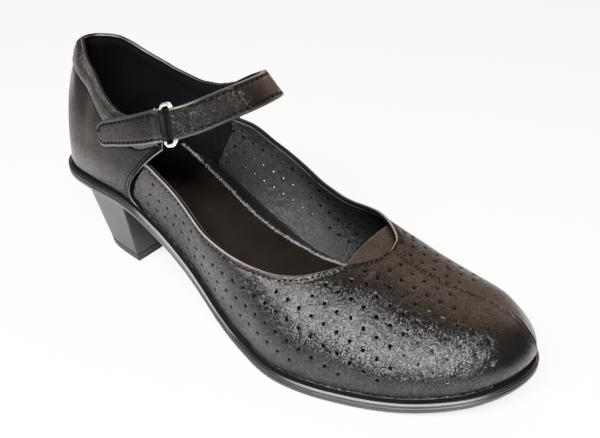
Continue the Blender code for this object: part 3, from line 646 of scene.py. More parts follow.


# Leather, rubber and thread: roughness, shine, and where they have them their own colour and tint, the
# grain's height against the user's, and the stops of fade and of sheen (axis, then mm and share); the
# sheen stops paint highlight and shade by place.
RECIPES = {
    # Less wax over the medial side: painted shade.
    "pebbled": dict(
        label="Pebbled vamp leather", rough=0.15, shine=0.125, grain=0.9,
        fade=(X, (224, 1.0), (238, 0.5)), painted_sheen=(Y, (2, 1.0), (15, 0.75))),
    # More wax towards the strap's crest: painted highlight.
    "pebbled strap": dict(
        label="Pebbled strap leather", rough=0.17, shine=0.075, grain=2.0,
        fade=(Y, (-14, 1.0), (-3, 0.3)), painted_sheen=(Y, (-18, 0.8), (2, 1.5))),
    "pebbled tab": dict(label="Pebbled tab leather", rough=0.3, shine=0.1, grain=0.7),
    # More wax high on the collar band: painted highlight.
    "pebbled band": dict(
        label="Pebbled collar leather", rough=0.33, shine=0.17, grain=0.8,
        painted_sheen=(Z, (86, 1.0), (97, 1.7))),
    # Wax high at the foot and top of the quarter and low between: painted highlight and painted shade.
    "smooth": dict(
        label="Quarter leather", rough=0.25, shine=0.074, grain=0.6, fade=(X, (24, 0.1), (50, 1.0)),
        painted_sheen=(Z, (52, 1.55), (66, 0.74), (80, 0.68), (94, 1.9))),
    # The folded edge: its own lighter edge finish, made lighter still as a painted highlight along the
    # fold.
    "rim": dict(
        label="Folded leather edge with painted highlight", rough=0.34, shine=0.35,
        colour=(0.014, 0.013, 0.012), tint=(0.022, 0.02, 0.018)),
    "strap edge": dict(
        label="Rolled strap edge", rough=0.3, shine=0.2,
        colour=(0.0024, 0.0022, 0.002), tint=(0.005, 0.0045, 0.004)),
    # Dull leather with almost no wax on the turns between the ring's bars: painted shade.
    "shaded turn leather": dict(label="Strap turn with painted shade", rough=0.4, shine=0.012),
    "lining": dict(
        label="Black lining", rough=0.5, shine=0.035,
        colour=(0.0005, 0.0005, 0.0006), tint=(0.0008, 0.0008, 0.0009)),
    "vamp lining": dict(
        label="Speckled vamp lining", rough=0.4, shine=0.14, grain=1.5,
        colour=(0.001, 0.001, 0.001), tint=(0.0016, 0.0016, 0.0015)),
    "sock": dict(
        label="Sock leather", rough=0.4, shine=0.04,
        colour=(0.001, 0.00085, 0.0007), tint=(0.0016, 0.0013, 0.0011)),
    "heel patch": dict(
        label="Heel patch", rough=0.36, shine=0.06,
        colour=(0.0004, 0.0004, 0.0004), tint=(0.0007, 0.0006, 0.0006)),
    "raw edge": dict(
        label="Raw sock edge", rough=0.9, shine=0.1,
        colour=(0.03, 0.029, 0.028), tint=(0.06, 0.058, 0.056)),
    # The toe stiffener's grey, used on the walls of the outer toe holes, partly as a painted highlight.
    "puff": dict(
        label="Toe stiffener with painted highlight", rough=0.4, shine=0.16,
        colour=(0.009, 0.0088, 0.0085), tint=(0.015, 0.0145, 0.014)),
    "sole": dict(
        label="Moulded sole", rough=0.3, shine=0.16,
        colour=(0.0011, 0.0011, 0.0012), tint=(0.0016, 0.0016, 0.0017)),
    # Less wax low on the heel: painted shade towards its foot.
    "heel": dict(
        label="Heel cover", rough=0.36, shine=0.115, painted_sheen=(Z, (4, 0.75), (36, 1.08)),
        colour=(0.0016, 0.0015, 0.0014), tint=(0.0024, 0.0022, 0.0021)),
    "top piece": dict(
        label="Heel rubber", rough=0.42, shine=0.08,
        colour=(0.0014, 0.0013, 0.0013), tint=(0.002, 0.002, 0.002)),
    "leaf": dict(
        label="Throat leaf leather", rough=0.36, shine=0.125, grain=1.0,
        colour=(0.0014, 0.0012, 0.001), tint=(0.0022, 0.0018, 0.0014)),
    "leaf edge": dict(
        label="Throat leaf edge", rough=0.7, shine=0.1,
        colour=(0.008, 0.007, 0.006), tint=(0.014, 0.012, 0.01)),
    "thread": dict(
        label="Bonded thread", rough=0.6, shine=0.02,
        colour=(0.0003, 0.0003, 0.0003), tint=(0.0005, 0.0005, 0.0005)),
}


@cache
def finish(name):
    """A finish of the shoe by its name, made when first asked for."""
    if name == "chrome":
        return polished_metal("Polished ring wire")
    look = bpy.context.scene.shoe
    recipe = {"colour": tuple(look.leather_colour), "tint": tuple(look.leather_tint)} | RECIPES[name]
    grain = recipe.pop("grain", None)
    if grain:
        recipe |= {"cells": 1000.0 / look.grain_size, "depth": look.grain_depth * grain}
    return leather(**recipe)


# ---------------------------------------------------------------- flat pattern of a vamp half
class Pattern:
    """The vamp half laid flat without stretching its corners, as the leather is cut and punched."""

    def __init__(self, side, cols=34, fan=7, rows=12):
        xs = np.linspace(VAMP_REAR, TOE_PIVOT, cols)
        toe = np.linspace(float(station(side, TOE_PIVOT)), 1.0, fan + 1)[1:]
        self.ts = np.concatenate([station(side, xs), toe])
        self.hs = np.linspace(0.0, 1.0, rows + 1)
        t, h = np.meshgrid(self.ts, self.hs, indexing="ij")
        points = vamp_point(side, t.ravel(), h.ravel())
        ids = np.arange(t.size).reshape(t.shape)
        ids[cols:, rows] = ids[cols - 1, rows]
        self.ids = ids
        tris, where = [], []
        for i in range(len(self.ts) - 1):
            for k in range(rows):
                quad = [(i, k), (i + 1, k), (i + 1, k + 1), (i, k + 1)]
                num = [ids[q] for q in quad]
                at = [(self.ts[a], self.hs[b]) for a, b in quad]
                if num[2] == num[3]:
                    tris.append(num[:3])
                    where.append([at[0], at[1], ((at[2][0] + at[3][0]) / 2, 1.0)])
                else:
                    tris += [num[:3], [num[0], num[2], num[3]]]
                    where += [at[:3], [at[0], at[2], at[3]]]
        self.tris, self.where = np.array(tris), np.array(where)
        root = ids[int(np.searchsorted(xs, THROAT_X)), rows]
        pole = ids[cols - 1, rows]
        x0 = points[root][0]
        self.flat = self.spread(points, root, pole, x0, x0 + np.linalg.norm(points[pole] - points[root]))

    def spread(self, points, root, pole, u_root, u_pole):
        """Least-squares conformal layout, pinned along the centre seam."""
        used = np.unique(self.tris)
        back = np.full(len(points), -1)
        back[used] = np.arange(len(used))
        t = back[self.tris]
        a, b, c = (points[used][t[:, k]] for k in range(3))
        e, f = b - a, c - a
        long = np.linalg.norm(e, axis=1)
        ex = e / long[:, None]
        n = np.cross(e, f)
        area = np.linalg.norm(n, axis=1)
        ey = np.cross(n / area[:, None], ex)
        z = [0j * long, long + 0j, (f * ex).sum(1) + 1j * (f * ey).sum(1)]
        m = np.zeros((len(t), len(used)), complex)
        for k in range(3):
            m[np.arange(len(t)), t[:, k]] += (z[(k + 2) % 3] - z[(k + 1) % 3]) / np.sqrt(area)
        pins = [back[root], back[pole]]
        held = np.array([u_root, u_pole], complex)
        free = np.array([i for i in range(len(used)) if i not in pins])
        solved = np.linalg.lstsq(m[:, free], -m[:, pins] @ held, rcond=None)[0]
        out = np.zeros(len(used), complex)
        out[free], out[pins] = solved, held
        whole = np.zeros(len(points), complex)
        whole[used] = out
        return whole

    def lay(self, t, h):
        """Flat place of leather coordinates."""
        t, h = np.broadcast_arrays(np.asarray(t, float), np.asarray(h, float))
        i = np.clip(np.searchsorted(self.ts, t, side="right") - 1, 0, len(self.ts) - 2)
        k = np.clip((h * (len(self.hs) - 1)).astype(int), 0, len(self.hs) - 2)
        u = (t - self.ts[i]) / (self.ts[i + 1] - self.ts[i])
        v = h * (len(self.hs) - 1) - k
        return between(self.flat[self.ids], i, k, u, v)

    def lift(self, flat):
        """Leather coordinates of flat places; NaN outside the pattern."""
        a, b, c = (self.flat[self.tris[:, k]] for k in range(3))
        full = ((b - a).conj() * (c - a)).imag
        out = np.full((len(flat), 2), np.nan)
        for s in range(0, len(flat), 1500):
            p = flat[s:s + 1500, None]
            wb = ((p - a).conj() * (c - a)).imag / full
            wc = ((b - a).conj() * (p - a)).imag / full
            wa = 1 - wb - wc
            least = np.minimum(np.minimum(wa, wb), wc)
            best = least.argmax(1)
            n = np.arange(len(best))
            w = np.stack([wa[n, best], wb[n, best], wc[n, best]], -1)
            corner = self.where[best]
            th = (corner * w[..., None]).sum(1)
            # Round the toe all girths meet at the top, so it has no say in t there.
            t = corner[..., 0]
            fan = (corner[:, 2, 1] == 1.0) & (t[:, 1] != t[:, 2]) & (t[:, 0] != t[:, 2])
            if fan.any():
                said = w[fan, 0] + w[fan, 1]
                th[fan, 0] = (w[fan, 0] * t[fan, 0] + w[fan, 1] * t[fan, 1]) / np.maximum(said, 1e-6)
            th[least[n, best] < -1e-6] = np.nan
            out[s:s + 1500] = th
        return out


def inset_rows(side, ts, depths):
    """Height shares at given depths below the vamp's upper edge, for each girth share."""
    h = 1.0 - np.linspace(0.0, 0.5, 90)
    rows = []
    for t in ts:
        run = run_of(vamp_point(side, t, h))
        rows.append(np.interp(depths, run, h))
    return np.array(rows)


def toe_rows(side, hs, depths):
    """Girth shares at given distances beside the seam down the toe, for each height share."""
    t = 1.0 - np.linspace(0.0, 0.09, 90)
    rows = []
    for h in hs:
        p = vamp_point(side, t, h)
        rows.append(np.interp(depths, np.linalg.norm(p - p[0], axis=1), t, right=np.nan))
    return np.array(rows)


def thin(flat, kept, gap):
    """Numbers of the flat points that lie at least gap from those kept and from each other."""
    cells = {}

    def cell(p):
        return int(p.real // gap), int(p.imag // gap)

    def near(p):
        a, b = cell(p)
        return any(abs(q - p) < gap for i in (a - 1, a, a + 1) for k in (b - 1, b, b + 1)
                   for q in cells.get((i, k), ()))

    for p in kept:
        cells.setdefault(cell(p), []).append(p)
    good = []
    for n, p in enumerate(flat):
        if p == p and not near(p):
            good.append(n)
            cells.setdefault(cell(p), []).append(p)
    return good


def clearance(places, others):
    """Distance from each flat place to the nearest of the others."""
    return np.concatenate([np.abs(places[s:s + 800, None] - others[None]).min(1)
                           for s in range(0, len(places), 800)])


# Punched holes on the flat pattern: corners of each ring, start of the first row along and beside
# the centre seam, and how far each next row is shifted back, in holes.
HOLE_SIDES = 10
PUNCH_START = 190.5 - 4.4j
PUNCH_SHIFT = 0.28
PUNCH_ROWS = range(12)
PUNCH_HOLES = range(-26, 10)
# Where there are holes: x from and to, and least distances from the quarter and from the vamp's top,
# foot and seam.
PUNCH_FROM, PUNCH_TO = 66.0, 236.0
QUARTER_MARGIN = 9.0
TOP_MARGIN = 4.8
FOOT_MARGIN = 7.5
SEAM_MARGIN = 13.0


def punch_places(side, pattern, look):
    """Centres of the punched holes on the flat pattern, in rows along the centre seam."""
    places = np.array([PUNCH_START + look.punch_pitch * (i - PUNCH_SHIFT * k) - 1j * look.punch_row * k
                       for k in PUNCH_ROWS for i in PUNCH_HOLES])
    th = pattern.lift(places)
    ok = ~np.isnan(th[:, 0])
    places, th = places[ok], th[ok]
    p = vamp_point(side, th[:, 0], th[:, 1])
    x = feather(side, th[:, 0])[:, 0]
    edge = resample(spline(FRONT[side], 12), 200)
    back = np.min(np.hypot(p[:, None, 0] - edge[None, :, 0], p[:, None, 2] - edge[None, :, 1]), axis=1)
    top = pattern.lay(station(side, np.linspace(55, THROAT_X, 200)), 1.0)
    foot = pattern.lay(np.linspace(pattern.ts[0], 1.0, 400), 0.0)
    seam = pattern.lay(1.0, np.linspace(0, 1, 60))
    keep = (back > QUARTER_MARGIN) & (p[:, 0] > PUNCH_FROM) & (x < PUNCH_TO)
    for line, margin in ((top, TOP_MARGIN), (foot, FOOT_MARGIN), (seam, SEAM_MARGIN)):
        keep &= clearance(places, line) > margin
    return places[keep]


# Lines round each half: points along the foot, up the tip, back along the spine, and down the throat.
FOOT_COUNT = 150
TIP_SHARES = np.linspace(0.0, 1.0, 30)
SPINE_XS = np.linspace(TOE_PIVOT, THROAT_X, 34)
TOP_XS = np.linspace(THROAT_X, VAMP_REAR, 100)[1:-1]
# Closer rows for the relief: depth below the upper edge or beside the toe seam, and places about the
# far side of the gap before the quarter.
EDGE_DEPTHS = np.array([0.2, 0.5, 0.95, 1.5, 2.1, 2.8])
GAP_PLACES = (-0.9, -0.45, -0.1, 0.25, 0.7)
# The lattice: height of a row and least distance from other points, both against its pitch, and its
# distance from the rim of a hole; then the distance of the ring of points round each hole.
LATTICE_ROW = 0.866
LATTICE_GAP = 0.62
LATTICE_CLEAR = 1.25
COLLAR_WIDE = 0.55


def half_outline(side, pattern):
    """Outline of one half in leather coordinates and flat, and its numbers on seam and top."""
    foot = [(t, 0.0) for t in np.linspace(pattern.ts[0], 1.0, FOOT_COUNT)[:-1]]
    tip = [(1.0, h) for h in TIP_SHARES[:-1]]
    spine = [(t, 1.0) for t in station(side, SPINE_XS)]
    top = [(t, 1.0) for t in station(side, TOP_XS)]
    rear = [(pattern.ts[0], h) for h in np.linspace(1.0, 0.0, 16)[:-1]]
    edge = np.array(foot + tip + spine + top + rear)
    flat = pattern.lay(edge[:, 0], edge[:, 1])
    flat[len(foot) + len(tip)] = pattern.flat[pattern.ids[-1, -1]]
    seam_end = len(foot) + len(tip) + len(spine)
    return edge, flat, list(range(len(foot), seam_end)), list(range(seam_end - 1, seam_end + len(top)))


def half_rows(side):
    """Leather coordinates of the closer rows of one half."""
    toe_t = float(station(side, TOE_PIVOT))
    ts = np.concatenate([station(side, SPINE_XS), station(side, TOP_XS)])
    rows = [(t, h) for t, line in zip(ts, inset_rows(side, ts, EDGE_DEPTHS)) for h in line]
    for h, line in zip(TIP_SHARES[1:-2], toe_rows(side, TIP_SHARES[1:-2], EDGE_DEPTHS)):
        rows += [(t, h) for t in line if t == t and t > toe_t]
    for beyond in GAP_PLACES:
        rows += gap_row(side, beyond)
    return np.array(rows)


def lattice_over(pattern, edge_flat, centres, look):
    """Flat places of a triangular lattice inside the pattern and clear of its holes."""
    step = look.net_pitch
    xs = np.arange(edge_flat.real.min(), edge_flat.real.max(), step)
    rows = np.arange(edge_flat.imag.min(), edge_flat.imag.max(), step * LATTICE_ROW)
    places = np.concatenate([xs + (n % 2) * step / 2 + 1j * q for n, q in enumerate(rows)])
    places = places[~np.isnan(pattern.lift(places)[:, 0])]
    return places[clearance(places, centres) > look.punch_radius + LATTICE_CLEAR]


def vamp_half(side, look):
    """Net of one half: leather coordinates, triangles, hole rings, numbers on seam and top."""
    pattern = Pattern(side)
    edge, edge_flat, seam, top = half_outline(side, pattern)
    rows = half_rows(side)
    rows_flat = pattern.lay(rows[:, 0], rows[:, 1])
    apart = thin(rows_flat, edge_flat, 0.18)
    rows, rows_flat = rows[apart], rows_flat[apart]

    centres = punch_places(side, pattern, look)
    r = look.punch_radius
    around = np.exp(2j * math.pi * np.arange(HOLE_SIDES) / HOLE_SIDES)
    rim = (centres[:, None] + r * around[None]).ravel()
    half_step = np.exp(1j * math.pi / HOLE_SIDES)
    wide = (centres[:, None] + (r + COLLAR_WIDE) * around[None] * half_step).ravel()
    lattice = lattice_over(pattern, edge_flat, centres, look)
    taken = np.concatenate([edge_flat, rows_flat])
    lattice = lattice[thin(lattice, taken, look.net_pitch * LATTICE_GAP)]

    free = np.concatenate([rim, wide, lattice])
    th = np.vstack([edge, rows, pattern.lift(free)])
    flat = np.concatenate([edge_flat, rows_flat, free])
    rings = np.arange(len(rim)).reshape(-1, HOLE_SIDES) + len(edge) + len(rows)
    lines = [(i, (i + 1) % len(edge)) for i in range(len(edge))]
    for ring in rings.tolist():
        lines += list(zip(ring, ring[1:] + ring[:1]))
    made = delaunay_2d_cdt([Vector((p.real, p.imag)) for p in flat], lines, [], 1, 1e-5)
    back = [o[0] if o else -1 for o in made[3]]
    if min(back) < 0:
        raise RuntimeError("the vamp pattern crosses itself")
    tris = np.array([[back[v] for v in f] for f in made[2] if len(f) == 3])
    tris = tris[clearance(flat[tris].mean(1), centres) > r * 0.9]
    return th, tris, rings, seam, top


# ---------------------------------------------------------------- vamp
def edge_distance(side, p):
    """Distance ahead of the quarter's front edge, negative behind it, in the side view."""
    line = resample(np.vstack([spline(FRONT[side], 12), [COLLAR[side][-1]]]), 240)
    d = np.hypot(p[:, None, 0] - line[None, :, 0], p[:, None, 2] - line[None, :, 1])
    return np.where(p[:, 0] > np.interp(p[:, 2], line[:, 1], line[:, 0]), 1.0, -1.0) * d.min(1)


def gap_row(side, beyond):
    """Points of the vamp along the far side of the open gap before the quarter."""
    line = resample(spline(FRONT[side], 12), 60)
    up = unit(np.gradient(line, axis=0))
    ahead = np.stack([up[:, 1], -up[:, 0]], -1)
    line = line + ahead * (smooth(line[:, 1], FRONT_GAP, 1) + beyond)[:, None]
    t = station(side, line[:, 0])
    h = share_of(side, t, line[:, 1])
    return [(a, b) for a, b in zip(t, h) if 0.02 < b < 0.97]


def vamp_relief(side, p, seam, top, foot):
    """How far the finished leather stands off its plain form."""
    s, t, f = nearest(p, seam), nearest(p, top), nearest(p, foot)
    # The toe seam is a valley between two swells, the upper edge a roll with a sewn groove below it,
    # and the foot turns in; behind the gap the vamp drops under the quarter.
    high = -0.55 * bump(s, 0.0, 0.35) + 0.2 * bump(s, 0.9, 0.6)
    high += 0.35 * bump(t, 0.3, 0.8) - 0.3 * bump(t, 1.6, 0.5)
    high -= 0.5 * bump(f, 0.0, 1.0)
    ahead, wide = edge_distance(side, p), smooth(p[:, 2], FRONT_GAP, 1)
    high -= 1.3 * (1.0 - ramp(ahead, wide - 0.45, wide + 0.25)) * ramp(t, 0.0, 2.0)
    return high


def vamp_top_line(side):
    return vamp_point(side, station(side, np.linspace(VAMP_REAR, THROAT_X, 300)), 1.0)


# Finishes of the vamp and their material numbers, and half the width of the dark line of its seam.
VAMP_FINISHES = ("pebbled", "vamp lining", "thread", "puff", "rim", "lining")
PEBBLED, SPECKLED, DARK, PUFF_LIT, RIM_LIT, BLACK = range(6)
SEAM_HALF = 0.19


def vamp_kinds(middle, seam_line):
    """Material numbers of the vamp's triangles, on its outer side and inside; the outer side in the gap
    before each quarter is painted black as shadow.
    """
    outside = np.where(nearest(middle, seam_line) < SEAM_HALF, DARK, PEBBLED)
    spine = smooth(middle[:, 0], SPINE, 1)
    # Outer faces in the open gap before each quarter's front edge take the black lining finish: a
    # painted shadow in the gap.
    for side, sign in (("lateral", -1.0), ("medial", 1.0)):
        rear = np.flatnonzero((sign * (middle[:, 1] - spine) > 0) & (middle[:, 0] < 90.0))
        wide = smooth(middle[rear, 2], FRONT_GAP, 1)
        outside[rear[edge_distance(side, middle[rear]) < wide - 0.1]] = BLACK
    below = np.minimum(*(nearest(middle, vamp_top_line(side)) for side in SIDES))
    inside = np.where(below < 0.95, BLACK, np.where(below < 1.5, RIM_LIT, SPECKLED))
    inside[middle[:, 1] < spine] = SPECKLED
    return outside.tolist(), inside.tolist()


# Over the toe a lining backs the holes: x where those blind holes start, and where the ones on the
# outer side of a y show a paler wall, partly the stiffener's grey and partly a painted highlight.
BLIND_FROM = 199.0
PALE_LIT_FROM = 203.0
PALE_LIT_SIDE = -15.0


def punch_wall(shell, ids, points, n, outer, low):
    """Wall of one hole, and its floor where the lining backs it."""
    mid = points[ids].mean(0)
    blind = mid[0] > BLIND_FROM
    # Walls of holes on the outer side over the toe take the lighter stiffener finish: partly its own
    # grey, partly a painted highlight.
    pale = mid[0] > PALE_LIT_FROM and mid[1] < PALE_LIT_SIDE
    narrow = 0.28 if not blind else 0.72 if pale else 0.85
    depth = 0.55 if blind else LINING
    rim = shell.row(outer[ids] - n[ids] * 0.02)
    foot = shell.row(mid + (points[ids] - mid) * narrow - n[ids] * depth)
    turn = tri_turn(points[ids], n[ids])
    shell.net(np.array([rim, foot]), PUFF_LIT if pale else DARK, not turn, wrap=True)
    if blind:
        shell.face(list(foot), DARK, not turn)
        shell.face(list(ids + low), SPECKLED, turn)


# Strips round the upper edge, from outside to inside; the folded-edge strips are lighter, partly the
# edge's own finish and partly a painted highlight.
TOP_STRIPS = {
    "lateral": (PEBBLED, RIM_LIT, RIM_LIT, BLACK, BLACK, BLACK, RIM_LIT, RIM_LIT, BLACK),
    "medial": (PEBBLED, RIM_LIT, RIM_LIT, RIM_LIT, BLACK, BLACK, BLACK, BLACK, BLACK),
}


def build_vamp(look):
    shell = Shell()
    seam_points = vamp_point("lateral", station("lateral", np.linspace(TOE_PIVOT, THROAT_X, 80)), 1.0)
    tip_points = vamp_point("lateral", 1.0, np.linspace(0.0, 1.0, 60))
    seam_line = np.vstack([tip_points, seam_points])
    halves = {}
    total = 0
    joined = None
    points, tris, rings, high = [], [], [], []
    for side in SIDES:
        th, tri, ring, seam, top = vamp_half(side, look)
        p = vamp_point(side, th[:, 0], th[:, 1])
        if (mesh_normals(p, tri) * (p - [150.0, 0.0, 10.0])).sum() < 0:
            tri = tri[:, ::-1]
        number = np.arange(len(p)) + total
        if joined is not None:
            number[seam] = joined
        joined = number[seam]
        halves[side] = (number, top)
        points.append(p)
        tris.append(number[tri])
        rings.append(number[ring])
        foot = vamp_point(side, np.linspace(0, 1, 400), 0.0)
        high.append(vamp_relief(side, p, seam_line, vamp_top_line(side), foot))
        total += len(p)
    points, tri, ring, high = np.vstack(points), np.vstack(tris), np.vstack(rings), np.concatenate(high)
    n = mesh_normals(points, tri)
    high[ring] -= 0.16
    outer = points + n * high[:, None]
    start = shell.add(outer)
    low = shell.add(points - n * LINING)
    for (a, b, c), outside, inside in zip(tri.tolist(), *vamp_kinds(points[tri].mean(1), seam_line)):
        shell.face((a + start, b + start, c + start), outside)
        shell.face((c + low, b + low, a + low), inside)
    for ids in ring:
        punch_wall(shell, ids, points, n, outer, low)
    for side in SIDES:
        number, top = halves[side]
        row = number[top]
        lip(shell, row + start, row + low, top_direction(row, points, n), 0.7, 0.4, TOP_STRIPS[side],
            side == "lateral")
        foot_row = number[np.arange(FOOT_COUNT)]
        tuck = shell.row(outer[foot_row] - n[foot_row] * 0.7 - [0, 0, 0.7])
        shell.net(np.array([foot_row + start, tuck]), PEBBLED, side == "medial")
    return shell.piece("Vamp", VAMP_FINISHES, "black_leather", ["upper"], outward=False)


def tri_turn(loop, normals):
    """Whether a ring of points turns anticlockwise about its normals."""
    mid = loop.mean(0)
    area = np.cross(loop - mid, np.roll(loop, -1, axis=0) - mid).sum(0)
    return float(area @ normals.mean(0)) > 0


def top_direction(row, points, n):
    """Direction out of the leather's edge, square to it, along the surface."""
    along = np.gradient(points[row], axis=0)
    out = unit(np.cross(along, n[row]))
    return out * np.where(out[:, 2:3] < 0, -1.0, 1.0)


# ---------------------------------------------------------------- quarters
def front_edge(side, r):
    """x and height of the quarter's front edge at share r of its run."""
    curve = spline(FRONT[side], 20)
    run = run_of(curve)
    return np.moveaxis(point_at(run / run[-1], curve, np.minimum(r, 1.0)), -1, 0)


def quarter_point(side, f, r, ahead=0.0):
    """Quarter leather: f from back seam to front edge, r 0 to 1 body and 1 to 2 collar band."""
    f, r = np.broadcast_arrays(np.asarray(f, float), np.asarray(r, float))
    low, band = np.minimum(r, 1.0), np.maximum(r - 1.0, 0.0)
    tip = COLLAR[side][-1]
    x_low, z_low = front_edge(side, r)
    x_r = x_low + (tip[0] - x_low) * band + ahead
    z_r = z_low + (tip[1] - z_low) * band
    z_end = FRONT[side][-1][1]
    x_top = feather(side, station(side, tip[0]) * f)[..., 0]
    top, depth = smooth(x_top, COLLAR[side], 1), smooth(x_top, BAND, 1)
    t = station(side, x_r) * f
    foot = foot_z(side, t)
    foot_right = foot_z(side, station(side, x_r))
    body = foot + (top - depth - foot) * low + (z_r - foot_right - (z_end - foot_right) * low) * f ** 3
    edge = z_end + (tip[1] - z_end) * band
    collar = top - depth * (1.0 - band) + (z_r - edge) * f ** 3
    z = np.where(r <= 1.0, body, collar)
    z = np.where(f >= 1.0, z_r, np.where(r <= 0.0, foot, z))
    return wall(side, t, z)


def quarter_grid(fs, rs, ahead=None):
    """Both quarters as one grid from the lateral front edge round the heel to the medial one."""
    parts = []
    for side in SIDES:
        f, r = np.meshgrid(fs, rs)
        shift = 0.0 if ahead is None else ahead(side, f, r)
        p = quarter_point(side, f, r, shift)
        parts.append(p[:, ::-1] if side == "lateral" else p[:, 1:])
    return np.concatenate(parts, axis=1)


def quarter_normals(p):
    """Normals of the grid of both quarters, away from the foot."""
    n = grid_normals(p)
    return n if (n * (p - [60, 0, 70])).sum() > 0 else -n


# Where the lining ends behind the vamp, at two heights: height, x.
COVER_LINE = [(43.6, 64.9), (65.1, 71.9)]


def front_cover(side, f, r):
    """How far the lining reaches ahead of the quarter's front edge, to close up to the vamp."""
    x, z = front_edge(side, r)
    line = np.interp(z, *zip(*COVER_LINE))
    need = np.maximum(line - x, 0.0) * (1.0 - ramp(z, 63.0, 72.0) * 0.6)
    return need * np.clip((f - 0.85) / 0.15, 0, 1)


# Lines of the quarter grid behind its front edge (mm of its length), and up from the foot at 0 over the
# collar band's lower edge at 1 to the rim at 2.
QUARTER_LONG = 75.0
BEHIND_EDGE = np.concatenate([[0, 0.35, 0.7, 1.05, 1.4, 1.75, 2.1, 2.45, 2.8, 3.3, 4.0, 5.0],
                              np.linspace(6.2, QUARTER_LONG, 56)])
UP_QUARTER = np.concatenate([
    np.linspace(0, 0.93, 30), [0.945, 0.96, 0.972, 0.984, 0.993, 1.0, 1.02, 1.045, 1.08],
    np.linspace(1.13, 1.86, 14), [1.91, 1.95, 1.98, 2.0]])


# Finishes of the quarters and their material numbers, the thickness with padding, the distance of its
# stitches from the front edge, and the strips round its edges from outside to inside.
QUARTER_FINISHES = ("smooth", "pebbled band", "lining", "rim", "strap edge")
BODY, COLLAR_BAND, INSIDE, FOLD_LIT, ROLL = range(5)
QUARTER_THICK = 2.4
FRONT_INSET = 2.25
FRONT_STRIPS = (BODY, FOLD_LIT, FOLD_LIT, INSIDE, INSIDE, INSIDE)
RIM_STRIPS = (COLLAR_BAND,) * 3 + (ROLL,) * 2 + (INSIDE,) * 3 + (ROLL,) + (INSIDE,) * 3


def build_quarters():
    shell = Shell()
    fs, rs = (1.0 - BEHIND_EDGE / QUARTER_LONG)[::-1], UP_QUARTER
    p = quarter_grid(fs, rs)
    n = quarter_normals(p)
    front = np.minimum(*(nearest(p, resample(p[:, col], 400)) for col in (0, -1)))
    valley, rim, foot = (nearest(p, resample(p[i], 900)) for i in (int(np.argmin(abs(rs - 1.0))), -1, 0))
    r = np.broadcast_to(rs[:, None], p.shape[:2])
    band = ramp(r, 0.998, 1.02)
    padding = 0.55 * np.sqrt(np.clip(np.sin(np.pi * np.clip(r - 1, 0, 1)), 0, 1))
    off = QUARTER_STEP + band * (BAND_STEP + padding)
    off += -0.45 * bump(valley, 0.0, 0.5) - 0.4 * bump(rim, 0.0, 0.9) * band
    off += (0.22 * bump(front, 0.7, 0.7) - 0.24 * bump(front, FRONT_INSET, 0.45)
            - 0.3 * bump(front, 0.0, 0.4))
    off -= 0.5 * bump(foot, 0.0, 1.0)
    outer = p + n * off[..., None]
    kinds = np.where(rs[:-1, None] >= 0.999, COLLAR_BAND, BODY) * np.ones((1, p.shape[1] - 1), int)
    ids = shell.grid(outer, kinds)
    flipped = float(np.cross(p[0, 1] - p[0, 0], p[1, 0] - p[0, 0]) @ n[0, 0]) < 0
    if flipped:
        shell.faces = [f[::-1] for f in shell.faces]
    q = quarter_grid(fs, rs, front_cover)
    m = quarter_normals(q)
    thick = QUARTER_THICK - 0.8 * bump(rim, 0.0, 2.2)
    inner = q - m * thick[..., None]
    low = shell.grid(inner, INSIDE, not flipped)
    for col in (0, -1):
        back = off[:, col] + 0.2 + 1.5 * ramp(rs, 0.62, 0.78)
        back_ids = shell.row(outer[:, col] - n[:, col] * back[:, None])
        away = unit(np.cross(np.gradient(p[:, col], axis=0), n[:, col]))
        away *= np.sign(away[:, 0:1])
        lip(shell, ids[:, col], back_ids, away, 0.6, 0.0, FRONT_STRIPS, (col == 0) != flipped)
        edge_ids = shell.row(inner[:, col] + m[:, col] * 0.4)
        shell.net(np.array([low[:, col], edge_ids]), FOLD_LIT, (col == 0) == flipped)
        shell.net(np.array([edge_ids, back_ids]), INSIDE, (col == 0) == flipped)
    up = unit(np.cross(np.gradient(p[-1], axis=0), n[-1]))
    up *= np.sign(up[:, 2:3])
    lip(shell, ids[-1], low[-1], up, 0.7, 0.45, RIM_STRIPS, flipped)
    tuck = shell.row(outer[0] - n[0] * 0.8 - [0, 0, 0.7])
    shell.net(np.array([tuck, ids[0]]), BODY, flipped)
    return shell.piece("Quarters", QUARTER_FINISHES, "black_leather", ["upper"], outward=False)


# ---------------------------------------------------------------- sole, insole and heel
def sole_ring(count):
    """Closed plan outline of the feather line with its outward directions."""
    lat, med = HALF["lateral"][1], HALF["medial"][1][::-1]
    ring = resample(np.vstack([lat, med[1:]]), count + 1)[:-1]
    d = np.roll(ring, -1, axis=0) - np.roll(ring, 1, axis=0)
    out = unit(np.stack([d[:, 1], -d[:, 0]], -1))
    if ((ring - ring.mean(0)) * out).sum() < 0:
        out = -out
    return ring, out


def halves_of(ring):
    """Lateral and medial half of a closed plan outline, both from the heel to the toe."""
    half = len(ring) // 2
    return ring[:half + 1], np.vstack([ring[half:], ring[:1]])[::-1]


def side_y(halves, x):
    """y of the lateral and of the medial half at x."""
    return [np.interp(x, np.maximum.accumulate(line[:, 0]), line[:, 1]) for line in halves]


def side_profile(t, o):
    """Rows of outset and rise of the sole's side, from the ledge under the upper downwards."""
    return [
        (-3.0, 0.0), (0.5, 0.0),
        (o - 1.75, 0.12), (o - 1.5, 0.4), (o - 1.2, 0.42), (o - 0.85, 0.2),
        (o - 0.15, -0.5), (o, -0.8), (o - 0.05, -1.1), (o - 0.35, -1.3), (o - 0.5, -1.5),
        (o - 0.4, -1.75), (o - 0.05, -1.95), (o, -2.3), (o, -3.0),
        (o - 0.05, -t + 1.0), (o - 0.3, -t + 0.45), (o - 0.9, -t),
    ]


# The tread fades in and out along the shoe between these x.
TREAD_IN = (118, 126)
TREAD_OUT = (226, 234)


